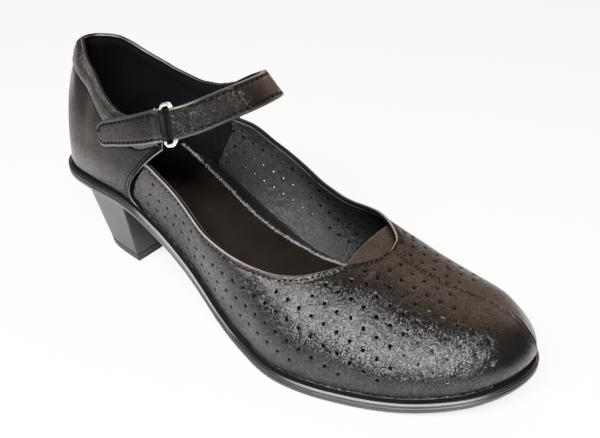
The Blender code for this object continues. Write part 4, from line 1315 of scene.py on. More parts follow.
def build_outsole(look):
    shell = Shell()
    ring, out = sole_ring(520)
    rows = []
    for outset, rise in side_profile(SOLE_THICK, SOLE_OUT):
        cup = 0.5 * (1.0 - ramp(ring[:, 0], 30.0, 62.0)) * (1.0 if outset > 1.2 else 0.0)
        q = ring + out * (outset + cup)[:, None]
        rows.append(np.column_stack([q, sole_z(q[:, 0]) + rise]))
    rows = np.array(rows)
    shell.grid(rows, 0, False, wrap=True)
    share = np.linspace(0, 1, 17)
    inside = ramp(share, 0.02, 0.1) * (1 - ramp(share, 0.9, 0.98))
    faces = ((rows[0], 0.0, 0.0, 120), (rows[-1], -SOLE_THICK, look.tread_depth, 420))
    for edge, rise, depth, count in faces:
        halves = halves_of(edge)
        x = halves[0][:, 0]
        xs = np.linspace(x.min() + 0.05, x.max() - 0.05, count)
        a, b = side_y(halves, xs)
        groove = depth * (0.5 + 0.5 * np.cos(2 * np.pi * xs / look.tread_pitch)) ** 4
        tread = groove * ramp(xs, *TREAD_IN) * (1 - ramp(xs, *TREAD_OUT))
        grid = np.zeros((len(xs), len(share), 3))
        grid[..., 0] = xs[:, None]
        grid[..., 1] = a[:, None] + (b - a)[:, None] * share
        grid[..., 2] = (sole_z(xs) + rise)[:, None] + tread[:, None] * inside
        shell.grid(grid, 0, rise < 0)
    return shell.piece("Outsole", ["sole"], "sole_rubber", ["outsole"])


# The sock: gap to the feather line, front end of its heel patch, height over the sole, how much higher
# it lies round the heel, and between which x that ends.
SOCK_INSET = WALL + 0.5
PATCH_FRONT = 65.0
SOCK_RISE = 2.3
SOCK_CUP = 1.4
CUP_END = (60, 140)


# Seed of the sock's fibres, the stretch along which they stand and their spacing.
FIBRE_SEED = 7
FIBRE_XS = np.arange(44.0, 158.0, 0.04)


def build_insole():
    shell = Shell()
    ring, out = sole_ring(360)
    halves = halves_of(ring - out * SOCK_INSET)
    x = halves[0][:, 0]
    xs = np.linspace(x.min() + 0.02, x.max() - 0.02, 300)
    share = (1 - np.cos(np.linspace(0, np.pi, 41))) / 2
    u, v = np.meshgrid(xs, share, indexing="ij")
    front = PATCH_FRONT + 2.5 * np.cos((v - 0.5) * np.pi) - 1.0
    row = int(np.argmin(abs(xs - PATCH_FRONT)))
    u = u + (front - xs[row]) * bump(u, xs[row], 12.0)
    a, b = side_y(halves, u)
    b = sock_edge(u, b)
    y = a + (b - a) * share
    from_side = np.minimum(v, 1 - v) * (b - a)
    from_end = np.minimum(u - xs[0], xs[-1] - u)
    near_edge = np.minimum(from_side, from_end)
    dish = SOCK_CUP * (1 - ramp(near_edge, 0.0, 11.0)) * (1 - ramp(u, *CUP_END)) + 0.25
    step = -0.25 * ramp(np.arange(len(xs)) - row, -0.6, 0.6)[:, None] * (1 - ramp(u, 66, 92))
    z = sole_z(u) + SOCK_RISE + dish + step - 0.9 * (1 - ramp(near_edge, 0.0, 1.0))
    kinds = np.where(np.arange(len(xs) - 1)[:, None] < row, 1, 0) * np.ones((1, len(share) - 1), int)
    top = shell.grid(np.stack([u, y, z], -1), kinds, True)
    low = shell.grid(np.stack([u, y, sole_z(u) + 0.3], -1), 0)
    for pick in ((slice(None), 0), (slice(None), -1), (0, slice(None)), (-1, slice(None))):
        shell.net(np.array([top[pick], low[pick]]), 0)
    return shell.piece("Sock", ("sock", "heel patch", "raw edge"), "sock_lining", ["insole"])


# How far the sock's medial edge stays inside the feather line: x, distance.
SOCK_CUT = [
    (36, 2.0), (50, 6.5), (66, 10.6), (85, 11.2), (98, 11.0), (108, 9.4), (123, 6.2), (140, 5.2),
    (156, 4.6), (170, 2.0),
]


def sock_edge(x, y):
    """Medial edge of the sock: cut well inside the wall along the waist."""
    return y + SOCK_INSET - smooth(x, SOCK_CUT, 1)


def build_raw_edge():
    """Short pale fibres along the cut edge of the sock at the medial waist."""
    rng = np.random.default_rng(FIBRE_SEED)
    shell = Shell()
    for x in FIBRE_XS:
        x = x + rng.uniform(-0.2, 0.2)
        foot = feather("medial", station("medial", x))
        edge = float(sock_edge(x, foot[1] - SOCK_INSET))
        rise = SOCK_RISE + SOCK_CUP * (1 - float(ramp(x, *CUP_END))) - rng.uniform(0.0, 0.4)
        base = np.array([x, edge - rng.uniform(-0.3, 1.7), float(sole_z(x)) + rise])
        lean = unit(np.array([rng.uniform(-0.8, 0.8), rng.uniform(-0.9, 0.6), rng.uniform(0.3, 1.2)]))
        long = rng.uniform(0.4, 1.5)
        across = unit(np.cross(lean, [0.3, 1.0, 0.2])) * rng.uniform(0.08, 0.18)
        tip = base + lean * long
        a = shell.add([base - across, base + across, tip + across * 0.4, tip - across * 0.4])
        shell.face((a, a + 1, a + 2, a + 3))
        shell.face((a + 3, a + 2, a + 1, a))
    return shell.piece("Sock_fibres", ["raw edge"], "sock_lining", outward=False)


# The heel: x of its front at the top and the base and of its back at the base, half width at the top and
# the base, y of its middle, inset of its back at the top, and how its sides curve in.
HEEL_FRONT_TOP = 51.0
HEEL_FRONT_BASE = 45.5
HEEL_BACK_BASE = 15.0
HEEL_HALF_TOP = 28.6
HEEL_HALF_BASE = 17.0
HEEL_MIDDLE = 0.5
HEEL_INSET = 4.2
HEEL_CURVE = 0.92


def heel_outline():
    """Closed plan of the heel under the sole, with small round corners at the breast."""
    xs = 0.6 + (HEEL_FRONT_TOP - 0.6) * (1 - np.cos(np.linspace(0, np.pi / 2, 30)))
    rows = {}
    for side in SIDES:
        t = station(side, xs)
        a, b = feather(side, np.maximum(t - 0.004, 0)), feather(side, t + 0.004)
        d = unit(b - a)
        n = np.stack([d[:, 1], -d[:, 0]], -1) * (1 if side == "lateral" else -1)
        rows[side] = feather(side, t) + n * (HEEL_INSET * (xs / HEEL_FRONT_TOP - 1.0))[:, None]
    corner = {}
    for side in SIDES:
        line = rows[side]
        other = rows["medial" if side == "lateral" else "lateral"][-1]
        c = line[-1]
        p, q = c - unit(c - line[-2]) * 0.8, c + unit(other - c) * 0.8
        s = np.linspace(0, 1, 7)[:, None]
        arc = (1 - s) ** 2 * p + 2 * s * (1 - s) * c + s * s * q
        corner[side] = np.vstack([line[:-1], arc])
    lat, med = corner["lateral"], corner["medial"]
    breast = lat[-1] + (med[-1] - lat[-1]) * np.linspace(0, 1, 14)[1:-1, None]
    return np.vstack([[[HEEL_INSET, 0.0]], lat, breast, med[::-1]])


def heel_level(plan, level):
    """Plan of the heel at a level, 1 under the sole and near 0 at the floor."""
    u = (plan[:, 0] - HEEL_INSET) / (HEEL_FRONT_TOP - HEEL_INSET)
    xb = HEEL_BACK_BASE + (HEEL_FRONT_BASE - HEEL_BACK_BASE) * u
    yb = HEEL_MIDDLE + (plan[:, 1] - HEEL_MIDDLE) * HEEL_HALF_BASE / HEEL_HALF_TOP
    share = level ** HEEL_CURVE
    return np.column_stack([xb + (plan[:, 0] - xb) * share, yb + (plan[:, 1] - yb) * share])


def heel_ring(plan, level, inset):
    """The heel's plan at a level, drawn in towards its middle."""
    at = heel_level(plan, level)
    return at - unit(at - heel_level(plan.mean(0)[None], level)) * inset


def closed_stack(rings):
    """Rings joined into a closed solid, its ends filled."""
    shell = Shell()
    ids = shell.grid(rings, 0, False, wrap=True)
    shell.face(list(ids[0]))
    shell.face(list(ids[-1]), 0, True)
    return shell


# Level at which the heel's cover meets its top piece, and rings of that piece: level, height, inset.
HEEL_SPLIT = 0.12
TOP_PIECE = [
    (0.118, 4.98, 0.3), (0.117, 4.9, 0.05), (0.114, 4.6, 0.0), (0.1, 3.6, 0.0), (0.09, 3.25, 0.0),
    (0.088, 2.95, 0.0), (0.07, 1.2, 0.0), (0.06, 0.6, 0.0), (0.055, 0.25, 0.15), (0.05, 0.05, 0.5),
    (0.045, 0.0, 0.9),
]


def build_heel():
    plan = heel_outline()
    rings = []
    for level in np.concatenate([np.linspace(1.0, 0.16, 30), [0.14, 0.125, HEEL_SPLIT]]):
        top = sole_z(np.clip(heel_level(plan, level)[:, 0], 0.0, 60.0)) - SOLE_THICK - 0.12
        low = HEEL_LIFT + 0.15
        z = low + (top - low) * (level - HEEL_SPLIT) / (1.0 - HEEL_SPLIT)
        shrink = 0.15 * bump(level, HEEL_SPLIT, 0.008) + 0.25 * bump(level, 1.0, 0.012)
        rings.append(np.column_stack([heel_ring(plan, level, shrink), z]))
    block = closed_stack(rings).piece("Heel_cover", ["heel"], "heel_cover", ["heel_block"])
    rings = [np.column_stack([heel_ring(plan, level, inset), np.full(len(plan), z)])
             for level, z, inset in TOP_PIECE]
    lift = closed_stack(rings).piece("Heel_top_piece", ["top piece"], "heel_rubber", ["heel_top_piece"])
    return [block, lift]


# ---------------------------------------------------------------- ring, strap, tab and throat leaf
def axis_frame(z_dir, x_dir):
    u = unit(z_dir)
    e = unit(np.asarray(x_dir, float) - np.dot(x_dir, u) * u)
    return e, u, np.cross(e, u)


# The ring's own axes: across its bars, along them, and off the foot.
RING_E, RING_U, RING_N = axis_frame((-0.36, 0.27, 0.89), (0.94, -0.02, 0.37))
# Centre to bar, height over the quarter, length, corner and wire radius of the ring.
RING_BAR = 3.0
RING_LIFT = 2.4
RING_LONG = 16.6
RING_CORNER = 2.0
RING_WIRE = 0.88
# Outer radius and width of the leather loops round its bars.
LOOP_OUT = 2.1
LOOP_WIDE = 13.2
RING_CENTRE = wall("lateral", station("lateral", 89.2), 90.4) + RING_N * RING_LIFT


def ring_place(e, u, n):
    e, u, n = np.broadcast_arrays(*(np.asarray(v, float) for v in (e, u, n)))
    return RING_CENTRE + RING_E * e[..., None] + RING_U * u[..., None] + RING_N * n[..., None]


def shade_turn(obj):
    """Give the turns of strap and tab between the ring's bars a dull leather with little wax: painted
    shade in the hollow between the loops.
    """
    obj.data.materials.append(finish("shaded turn leather"))
    for face in obj.data.polygons:
        away = np.array(face.center[:]) / MM + CENTRE - RING_CENTRE
        if abs(away @ RING_E - 0.7) < 3.5 and abs(away @ RING_N) < 4.0:
            face.material_index = 2


def build_ring():
    path = []
    for sx, sy, a0 in ((1, 1, 0), (-1, 1, 90), (-1, -1, 180), (1, -1, 270)):
        a = np.radians(a0 + np.linspace(0, 90, 13))
        path.append(np.column_stack([sx * (RING_BAR - RING_CORNER) + RING_CORNER * np.cos(a),
                                     sy * (RING_LONG / 2 - RING_CORNER) + RING_CORNER * np.sin(a)]))
    path = np.vstack(path)
    d = unit(np.roll(path, -1, axis=0) - np.roll(path, 1, axis=0))
    side = np.column_stack([d[:, 1], -d[:, 0]])
    w = np.linspace(0, 2 * np.pi, 24, endpoint=False)
    off = side[:, None] * np.cos(w)[None, :, None] * RING_WIRE
    e, u = path[:, None, 0] + off[..., 0], path[:, None, 1] + off[..., 1]
    rings = ring_place(e, u, np.sin(w)[None] * RING_WIRE)
    shell = Shell()
    ids = shell.row(rings.reshape(-1, 3)).reshape(rings.shape[:2])
    shell.net(np.vstack([ids, ids[:1]]), wrap=True)
    return shell.piece("Ring_wire", ["chrome"], "ring_chrome", ["ring"])


# Edges of the strap from the ring over the instep: x, y, height.
STRAP_REAR = [
    (99, -23, 102.2), (103.5, -12, 104.2), (107, 0, 105.6), (107.5, 9.5, 105.8), (103, 17.5, 104.0),
    (94.6, 22.6, 99.8), (84.5, 25.75, 94.45),
]
STRAP_FORE = [
    (105, -27, 90.4), (111.5, -16, 93.6), (115.8, -2, 95.4), (116.5, 9.5, 95.8), (112, 19.5, 93.4),
    (102.6, 26.0, 88.4), (88.25, 32.4, 82.2),
]
# Where the strap's own end lies on the medial ear: x, height of its two corners.
STRAP_TAIL = [(67.0, 83.5), (80.5, 79.4)]
# Distance of the stitches from the strap's edges, and of the groove under them.
STRAP_INSET = 2.1


def wall_frame(side, x, z):
    """Points of the vamp's wall at given x and height, with their normals away from the foot."""
    t = station(side, x)
    p = wall(side, t, z)
    n = unit(np.cross(wall(side, t + 0.003, z) - p, wall(side, t, np.asarray(z) + 0.5) - p))
    away = -1.0 if side == "lateral" else 1.0
    return p, n * np.where(n[..., 1:2] * away < 0, -1.0, 1.0)


def strap_edges(count=150):
    """Outer face edges of the strap from its turned-back end, round the ring, to the medial ear."""
    a = np.radians(np.linspace(262, 56, 15))
    edges = []
    for table, tail, sign in ((STRAP_REAR, STRAP_TAIL[0], 1.0), (STRAP_FORE, STRAP_TAIL[1], -1.0)):
        u = sign * LOOP_WIDE / 2
        turn = [ring_place(RING_BAR + 5.2, u, -3.3), ring_place(RING_BAR + 2.8, u, -2.4)]
        arc = list(ring_place(RING_BAR + LOOP_OUT * np.cos(a), u, LOOP_OUT * np.sin(a)))
        joint = ring_place(RING_BAR + 3.8, u * 1.01, 0.3)
        p, n = wall_frame("medial", *tail)
        edges.append(resample(spline([*turn, *arc, joint, *table, p + n * 1.9], 8), count))
    return edges


# Distances of the strip's rows from its edges; outer ones are close for the fold and the groove.
STRIP_STEPS = np.array([0, 0.25, 0.6, 1.0, 1.4, 1.8, 2.2, 2.6, 3.1, 3.8, 5.0])


def ribbon(name, slot, node, finishes, a, b, face, thick, groove, crown, fold):
    """A strip between two outer edges, its rounded long edges in the second finish.

    groove is the place and depth of the line under its stitches."""
    wide = np.linalg.norm(b - a, axis=1)
    across = unit(b - a)
    rings = []
    for i in range(len(a)):
        w, th = wide[i], thick[i]
        side = np.minimum(STRIP_STEPS, w / 2 - 0.01)
        mid = np.linspace(side[-1], w - side[-1], 8)[1:-1]
        d = np.sort(np.concatenate([side, mid, (w - side)[::-1]]))
        near = np.minimum(d, w - d)
        r = min(fold, th * 0.5)
        drop = (r - np.sqrt(np.clip(r * r - np.clip(r - near, 0, r) ** 2, 0, None))) * 0.9
        high = crown * (1 - (2 * d / w - 1) ** 2) * min(1.0, w / 10.0) - drop
        high = high - groove[1] * bump(near, groove[0], 0.45)
        rows = [a[i] + across[i] * d[:, None] + face[i] * z[:, None] for z in (high, drop - th)]
        rings.append(np.vstack([rows[0], rows[1][::-1]]))
    edge = (near[1:] + near[:-1]) / 2 < 0.85
    kinds = np.concatenate([edge, [True], np.zeros(len(edge), bool), [True]]).astype(int)
    shell = Shell()
    ids = shell.grid(rings, kinds[None] * np.ones((len(rings) - 1, 1), int), False, wrap=True)
    shell.face(list(ids[0]), 1, False)
    shell.face(list(ids[-1]), 1, True)
    obj = shell.piece(name, finishes, slot, [node])
    shade_turn(obj)
    return obj


def strip_faces(a, b):
    """Normals of a strip and the run of its middle."""
    mid = (a + b) / 2
    return unit(np.cross(b - a, np.gradient(mid, axis=0))), run_of(mid)


def build_strap():
    rear, fore = strap_edges()
    face, run = strip_faces(rear, fore)
    if face[int(np.argmin(abs(run - 60.0)))][2] < 0:
        face = -face
    # Single leather in its turn round the ring, doubled over the instep, thinner where it is sewn on.
    thick = 1.2 + 1.0 * ramp(run, 14.0, 24.0)
    thick = thick - (thick - 1.5) * (1 - ramp(run[-1] - run, 2.0, 14.0))
    return ribbon("Strap", "strap_leather", "strap", ("pebbled strap", "strap edge"), rear, fore, face,
                  thick, (STRAP_INSET, 0.35), 0.35, 0.9)


# Edges of the closure tab on the quarter, from its blunt rear end to the ring: x, height.
TAB_TOP = [(44.2, 78.2), (48.6, 82.4), (57, 85.8), (66, 89.2), (74, 92.2), (79.0, 94.2)]
TAB_LOW = [(44.4, 75.6), (47.6, 71.4), (57, 73.5), (67, 76.3), (77, 79.3), (83.4, 81.6)]
# Distance of the stitches from the tab's edges, and of the row across its rear end from that end.
TAB_INSET = 1.9
TAB_SEWN = 2.2


def tab_edges(count=120):
    """Outer face edges of the tab, from its blunt end round the ring's bar to the other end."""
    lift = QUARTER_STEP + BAND_STEP + 0.3 + 2.0
    a = np.radians(np.linspace(108, -80, 14))
    edges = []
    for table, sign in ((TAB_TOP, 1.0), (TAB_LOW, -1.0)):
        u = sign * LOOP_WIDE / 2
        line = spline(table, 6)
        p, n = wall_frame("lateral", line[:, 0], line[:, 1])
        arc = ring_place(-RING_BAR + LOOP_OUT * np.cos(a), u, LOOP_OUT * np.sin(a))
        turn = ring_place(np.array([-RING_BAR - 3.0]), u, -2.15)
        joint = ring_place(np.array([-RING_BAR - 2.6]), u, 2.2)
        edges.append(resample(spline(np.vstack([p + n * lift, joint, arc, turn]), 6), count))
    return edges


def build_tab():
    top, low = tab_edges()
    face, run = strip_faces(top, low)
    if face[len(run) // 3][1] > 0:
        face = -face
    thick = 2.0 - 0.8 * ramp(run, run[-1] - 22.0, run[-1] - 12.0)
    swell = np.sqrt(np.clip(1 - (1 - np.clip(run / 1.4, 0, 1)) ** 2, 0.02, 1))
    shift = (1 - swell) * 0.9
    sunk = face * shift[:, None]
    return ribbon("Closure_tab", "tab_leather", "closure_tab", ("pebbled tab", "strap edge"), top - sunk,
                  low - sunk, face, thick - shift, (TAB_INSET, 0.3), 0.3, 0.8)


class Crown:
    """Height of the vamp over plan points near the throat, bridged over the opening."""

    def __init__(self):
        self.xs = np.arange(156.0, 197.0, 1.0)
        self.ys = np.arange(-32.0, 40.0, 1.0)
        rows = []
        for x in self.xs:
            line = np.vstack([vamp_point(side, station(side, x), np.linspace(0.3, 1, 30))[:, 1:]
                              for side in SIDES])
            line = line[np.argsort(line[:, 0])]
            rows.append(np.interp(self.ys, line[:, 0], line[:, 1]))
        self.z = np.array(rows)

    def __call__(self, x, y):
        u = np.clip(x - self.xs[0], 0, len(self.xs) - 1.001)
        v = np.clip(y - self.ys[0], 0, len(self.ys) - 1.001)
        i, k = u.astype(int), v.astype(int)
        return between(self.z, i, k, u - i, v - k)


# The leaf under the throat: y of its middle, half width, x of its rear and front on the middle.
LEAF_MIDDLE = 3.0
LEAF_HALF = 24.0
LEAF_REAR = 164.0
LEAF_FRONT = 190.0


def build_leaf():
    crown = Crown()
    shares = np.concatenate([np.linspace(0, 0.1, 5), np.linspace(0.13, 1, 26)])
    f, s = np.meshgrid(np.linspace(-1, 1, 60), shares, indexing="ij")
    y = LEAF_MIDDLE + LEAF_HALF * f
    rear, front = LEAF_REAR + 3.2 * f * f + 0.6 * f, LEAF_FRONT - 12.0 * f * f
    x = rear + (front - rear) * s
    dx = (crown(x + 1.5, y) - crown(x - 1.5, y)) / 3.0
    dy = (crown(x, y + 1.5) - crown(x, y - 1.5)) / 3.0
    slope = np.sqrt(1 + dx * dx + dy * dy)
    from_rear = x - rear
    rolled = 0.15 * bump(from_rear, 0.6, 0.6) - 0.2 * bump(from_rear, 0, 0.3)
    top = crown(x, y) - (WALL + 0.6) * slope + rolled
    shell = Shell()
    a = shell.grid(np.stack([x, y, top], -1), np.where(s[:-1, :-1] < 0.01, 1, 0))
    b = shell.grid(np.stack([x, y, top - slope], -1), 0, True)
    for first, second, kind in ((b[:, 0], a[:, 0], 1), (a[:, -1], b[:, -1], 0), (a[0], b[0], 0),
                                (b[-1], a[-1], 0)):
        shell.net(np.array([first, second]), kind)
    return shell.piece("Throat_leaf", ("leaf", "leaf edge"), "throat_leather", ["throat_insert"])


# ---------------------------------------------------------------- thread
# Pieces that carry stitches.
SEWN = ("Vamp", "Quarters", "Strap", "Closure_tab")


def inset_line(side, depth, xs):
    """Points of the vamp a given depth below its upper edge."""
    ts = station(side, xs)
    h = inset_rows(side, ts, np.array([depth]))[:, 0]
    return vamp_point(side, ts, h)


def front_inset(side, depth, first, last, count):
    """Points of a quarter a given depth behind its front edge, between two shares of the edge."""
    fs = 1.0 - np.linspace(0, 0.12, 60)
    points = []
    for r in np.linspace(first, last, count):
        p = quarter_point(side, fs, r)
        run = run_of(p)
        points.append([np.interp(depth, run, p[:, k]) for k in range(3)])
    return np.array(points)


def sew_strip(thread, tree, a, b, inset, first, last, ends, sink):
    """Stitches inside both long edges of a strip between two lengths, and across it at its ends."""
    across = unit(b - a)
    run = run_of((a + b) / 2)
    part = (run > first) & (run < last)
    rows = [path[part] for path in (a + across * inset, b - across * inset)]
    for at in ends:
        i = int(np.argmin(abs(run - at)))
        s = np.linspace(inset, np.linalg.norm(b[i] - a[i]) - inset, 12)[:, None]
        rows.append(a[i] + across[i] * s)
    for path in rows:
        thread.row(*seat_on(tree, path), sink)


# Rows on the vamp: distance from its upper edge and from the toe seam, and x where they start and end.
# Each row's last number is how deep it sits in the leather.
TOP_INSET = 1.6
SEAM_INSET = 1.3
TOP_SEWN_FROM = 69.0
SEAM_SEWN_TO = 205.0


def build_stitches(look):
    thread = Stitches(look.stitch_long, look.stitch_gap, look.thread_radius)
    vamp, quarters, strap, tab = (tree_of(bpy.data.objects[name].data) for name in SEWN)
    top_xs = np.linspace(TOP_SEWN_FROM, THROAT_X, 130)
    seam_xs = np.linspace(THROAT_X + 1.0, SEAM_SEWN_TO, 60)
    for side in SIDES:
        thread.row(*seat_on(vamp, inset_line(side, TOP_INSET, top_xs)), 0.12)
    thread.long, thread.radius = look.seam_stitch, look.thread_radius * 0.65
    for side in SIDES:
        thread.row(*seat_on(vamp, inset_line(side, SEAM_INSET, seam_xs)), 0.1)
    thread.long, thread.radius = look.stitch_long, look.thread_radius
    for side in SIDES:
        thread.row(*seat_on(quarters, front_inset(side, FRONT_INSET, 0.04, 0.96, 60)), 0.12)
    thread.long, thread.gap = look.strap_stitch, look.strap_gap
    thread.radius = look.thread_radius * 1.25
    rear, fore = strap_edges()
    end = run_of((rear + fore) / 2)[-1] - 2.0
    sew_strip(thread, strap, rear, fore, STRAP_INSET, 20.0, end, (20.0, end), 0.14)
    sew_strip(thread, tab, *tab_edges(), TAB_INSET, TAB_SEWN, 43.0, (TAB_SEWN,), 0.1)
    return thread.shell.piece("Thread", ["thread"], "black_leather", outward=False)


# ---------------------------------------------------------------- stage
def painted_pool_paper(look):
    """Pale paper round the shoe, its colour falling off into dark paper beyond: a painted pool of light
    with painted shade around it.
    """
    paper, tree, shader, where = new_material("Studio paper with painted light pool")
    back_turn = {"Vector": where, "Angle": math.radians(-look.view_turn)}
    turned = put(tree, "ShaderNodeVectorRotate", back_turn, rotation_type="Z_AXIS").outputs["Vector"]
    parts = put(tree, "ShaderNodeSeparateXYZ", {"Vector": turned}).outputs
    wide = math_of(tree, "MULTIPLY_ADD", parts["Y"], look.light_pool_spread, look.light_pool_half)
    beside = math_of(tree, "SUBTRACT", math_of(tree, "ABSOLUTE", parts["X"]), wide)
    before = math_of(tree, "SUBTRACT", -look.light_pool_front, parts["Y"])
    # The paper's colour turns dark away from the shoe: a painted pool of light.
    lit = remap(tree, math_of(tree, "MAXIMUM", beside, before), 0.0, 0.25, 1.0, 0.0)
    cloud = noise(tree, where, 3.0, 2.0)["Fac"]
    near = mix_colour(tree, cloud, (0.88, 0.88, 0.88), (0.9, 0.9, 0.9))
    feed(tree, shader["Base Color"], mix_colour(tree, lit, (0.12, 0.118, 0.115), near))
    feed(tree, shader["Roughness"], remap(tree, cloud, *CLOUD, 0.75, 0.82))
    feed(tree, shader["Specular IOR Level"], 0.2)
    return paper


def build_stage(look):
    """Pale floor, soft light and the camera."""
    mesh = bpy.data.meshes.new("Floor")
    size = look.floor_size / 2
    corners = [(-size, -size, 0), (size, -size, 0), (size, size, 0), (-size, size, 0)]
    mesh.from_pydata(corners, [], [(0, 1, 2, 3)])
    mesh.materials.append(painted_pool_paper(look))
    floor = new_object("Floor", mesh)

    # Name, direction and distance (m) from the shoe, sides (m), power, colour.
    lights = (
        ("Main softbox", (0.2, -0.64, 0.74), 1.25, (1.3, 0.4), look.main_light, (1.0, 0.99, 0.98)),
        ("Warm wall", (-0.1, 0.85, 0.62), 2.2, (3.4, 1.6), look.rear_light, (1.0, 0.71, 0.52)),
    )
    for name, direction, far, (wide, high), power, colour in lights:
        data = bpy.data.lights.new(name, "AREA")
        data.shape, data.size, data.size_y = "RECTANGLE", wide, high
        data.energy, data.color = power, colour
        lamp = new_object(name, data)
        away = Vector(direction).normalized()
        lamp.location = away * far
        lamp.rotation_euler = away.to_track_quat("Z", "Y").to_euler()

    world = bpy.data.worlds.new("Room")
    world.use_nodes = True
    room = world.node_tree.nodes["Background"].inputs
    room["Color"].default_value = (*look.room_colour, 1.0)
    room["Strength"].default_value = look.room_light
    bpy.context.scene.world = world

    az, el, roll = (math.radians(v) for v in (look.view_turn, look.view_rise, look.view_roll))
    back = np.array([math.sin(az) * math.cos(el), -math.cos(az) * math.cos(el), math.sin(el)])
    right = np.array([math.cos(az), math.sin(az), 0.0])
    up = np.cross(back, right)
    cos, sin = math.cos(roll), math.sin(roll)
    right, up = cos * right + sin * up, cos * up - sin * right
    place = (np.array(look.view_target) - CENTRE) * MM + back * look.view_distance * MM
    data = bpy.data.cameras.new("Camera")
    data.sensor_width, data.lens = 36.0, look.view_lens
    data.clip_start, data.clip_end = 0.01, 50.0
    camera = new_object("Camera", data)
    rows = [[right[i], up[i], back[i], place[i]] for i in range(3)]
    camera.matrix_world = Matrix(rows + [[0, 0, 0, 1]])
    bpy.context.scene.camera = camera
    return floor


# ---------------------------------------------------------------- add-on
def number(name, description, default, low, high, **more):
    return FloatProperty(name=name, description=description, default=default,
                         min=low, max=high, **more)


def colour(name, description, default):
    return FloatVectorProperty(name=name, description=description, default=default, size=3,
                               subtype="COLOR", min=0.0, max=1.0)


class ShoeSettings(bpy.types.PropertyGroup):
    leather_colour: colour("Leather colour", "Base colour of the black leather",
                           (0.0008, 0.0008, 0.0008))
    leather_tint: colour("Leather tint", "Warmer tone of the black leather in patches",
                         (0.0014, 0.0012, 0.001))
    grain_size: number("Grain size", "Width of a grain pebble in mm", 0.64, 0.3, 3.0)
    grain_depth: number("Grain depth", "Height of a grain pebble in mm", 0.085, 0.0, 1.0)
    punch_pitch: number("Punch pitch", "Distance of holes along a row in mm", 5.65, 3.0, 12.0)
    punch_row: number("Punch rows", "Distance between rows of holes in mm", 6.45, 3.0, 12.0)
    punch_radius: number("Punch radius", "Radius of a punched hole in mm", 0.7, 0.2, 2.0)
    net_pitch: number("Net pitch", "Spacing of the vamp's points in mm", 1.5, 0.8, 5.0)
    stitch_long: number("Stitch length", "Length of a stitch in mm", 1.65, 0.5, 6.0)
    stitch_gap: number("Stitch gap", "Gap between stitches in mm", 0.65, 0.1, 4.0)
    seam_stitch: number("Seam stitch", "Length of a stitch by the toe seam in mm", 1.0, 0.3, 6.0)
    strap_stitch: number("Strap stitch", "Length of a stitch of the strap in mm", 1.95, 0.5, 6.0)
    strap_gap: number("Strap stitch gap", "Gap between the strap's stitches in mm", 1.05, 0.1, 4.0)
    thread_radius: number("Thread radius", "Radius of the thread in mm", 0.34, 0.05, 1.0)
    tread_pitch: number("Tread pitch", "Distance between tread grooves in mm", 3.4, 1.0, 12.0)
    tread_depth: number("Tread depth", "Depth of a tread groove in mm", 0.6, 0.0, 2.0)
    floor_size: number("Floor size", "Side of the floor", 6.0, 0.5, 20.0, unit="LENGTH")
    # The paper's painted pool of light: its half width, its reach in front of the shoe and its widening.
    light_pool_half: number("Paper half width", "Half width of the lit paper beside the shoe",
                       0.33, 0.1, 5.0, unit="LENGTH")
    light_pool_front: number("Paper front", "Reach of the lit paper in front of the shoe",
                        0.2, 0.05, 5.0, unit="LENGTH")
    light_pool_spread: number("Paper spread", "Widening of the lit paper towards the rear",
                         0.45, 0.0, 2.0)
    main_light: number("Main light", "Power of the main softbox in watts", 390.0, 0.0, 900.0)
    rear_light: number("Rear light", "Power of the rear softbox in watts", 240.0, 0.0, 900.0)
    room_colour: colour("Room colour", "Colour of the room around the stage", (0.6, 0.57, 0.56))
    room_light: number("Room light", "Strength of the room's light", 1.2, 0.0, 5.0)
    view_turn: number("View turn", "Camera azimuth in degrees", 33.7283, -180.0, 180.0)
    view_rise: number("View rise", "Camera elevation in degrees", 30.3978, -90.0, 90.0)
    view_roll: number("View roll", "Camera roll in degrees", 0.155, -45.0, 45.0)
    view_distance: number("View distance", "Camera distance from its target in mm",
                          352.866, 50.0, 5000.0)
    view_target: FloatVectorProperty(
        name="View target", description="Point that the camera looks at in mm", size=3,
        default=(119.48, 20.361, 31.291))
    view_lens: number("View lens", "Focal length of the camera in mm", 44.0, 5.0, 300.0)


def done(made):
    """An operator's result; one that built nothing raises an error."""
    if made is None:
        raise RuntimeError("nothing was built")
    return {"FINISHED"}


class SHOE_OT_vamp(bpy.types.Operator):
    """Builds the punched vamp with its lining"""
    bl_idname = "shoe.vamp"
    bl_label = "Vamp"

    def execute(self, context):
        return done(build_vamp(context.scene.shoe))


class SHOE_OT_quarters(bpy.types.Operator):
    """Builds the quarters with the collar band and lining"""
    bl_idname = "shoe.quarters"
    bl_label = "Quarters"

    def execute(self, context):
        return done(build_quarters())


class SHOE_OT_sole(bpy.types.Operator):
    """Builds the outsole"""
    bl_idname = "shoe.sole"
    bl_label = "Outsole"

    def execute(self, context):
        return done(build_outsole(context.scene.shoe))


class SHOE_OT_sock(bpy.types.Operator):
    """Builds the sock with its heel patch and raw edge"""
    bl_idname = "shoe.sock"
    bl_label = "Sock"

    def execute(self, context):
        return done(build_insole() and build_raw_edge())


class SHOE_OT_heel(bpy.types.Operator):
    """Builds the heel cover and its top piece"""
    bl_idname = "shoe.heel"
    bl_label = "Heel"

    def execute(self, context):
        return done(build_heel())


class SHOE_OT_strap(bpy.types.Operator):
    """Builds the instep strap round the ring's front bar"""
    bl_idname = "shoe.strap"
    bl_label = "Strap"

    def execute(self, context):
        return done(build_strap())


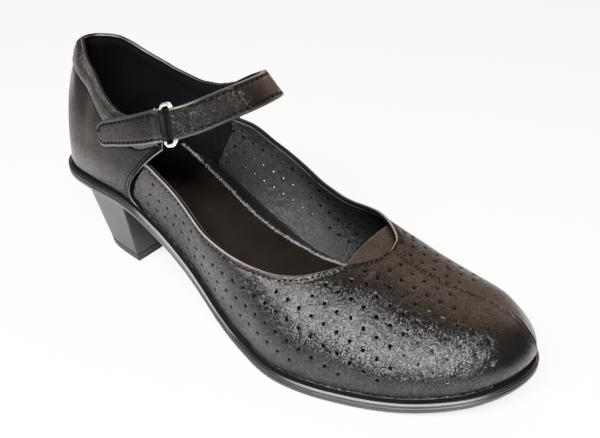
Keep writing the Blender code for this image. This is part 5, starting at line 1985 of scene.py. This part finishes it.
class SHOE_OT_tab(bpy.types.Operator):
    """Builds the closure tab round the ring's rear bar"""
    bl_idname = "shoe.tab"
    bl_label = "Closure tab"

    def execute(self, context):
        return done(build_tab())


class SHOE_OT_ring(bpy.types.Operator):
    """Builds the polished ring"""
    bl_idname = "shoe.ring"
    bl_label = "Ring"

    def execute(self, context):
        return done(build_ring())


class SHOE_OT_leaf(bpy.types.Operator):
    """Builds the leaf under the throat"""
    bl_idname = "shoe.leaf"
    bl_label = "Throat leaf"

    def execute(self, context):
        return done(build_leaf())


class SHOE_OT_thread(bpy.types.Operator):
    """Sews the rows of stitches on the pieces built before"""
    bl_idname = "shoe.thread"
    bl_label = "Thread"

    def execute(self, context):
        missing = [name for name in SEWN if name not in bpy.data.objects]
        if missing:
            raise RuntimeError("build first: " + ", ".join(missing))
        return done(build_stitches(context.scene.shoe))


class SHOE_OT_stage(bpy.types.Operator):
    """Sets the floor, the lights and the camera"""
    bl_idname = "shoe.stage"
    bl_label = "Stage"

    def execute(self, context):
        return done(build_stage(context.scene.shoe))


STEPS = (SHOE_OT_vamp, SHOE_OT_quarters, SHOE_OT_sole, SHOE_OT_sock, SHOE_OT_heel, SHOE_OT_strap,
         SHOE_OT_tab, SHOE_OT_ring, SHOE_OT_leaf, SHOE_OT_thread, SHOE_OT_stage)


class SHOE_PT_panel(bpy.types.Panel):
    """Steps of the shoe in the sidebar"""
    bl_idname = "SHOE_PT_panel"
    bl_label = "Shoe"
    bl_space_type = "VIEW_3D"
    bl_region_type = "UI"
    bl_category = "Shoe"

    def draw(self, context):
        for step in STEPS:
            self.layout.operator(step.bl_idname)
        for name in ShoeSettings.__annotations__:
            self.layout.prop(context.scene.shoe, name)


CLASSES = (ShoeSettings, *STEPS, SHOE_PT_panel)


def register():
    for cls in CLASSES:
        bpy.utils.register_class(cls)
    bpy.types.Scene.shoe = PointerProperty(type=ShoeSettings)


def unregister():
    del bpy.types.Scene.shoe
    for cls in reversed(CLASSES):
        bpy.utils.unregister_class(cls)


def main():
    register()
    for step in STEPS:
        group, name = step.bl_idname.split(".")
        getattr(getattr(bpy.ops, group), name)()


if __name__ == "__main__":
    main()
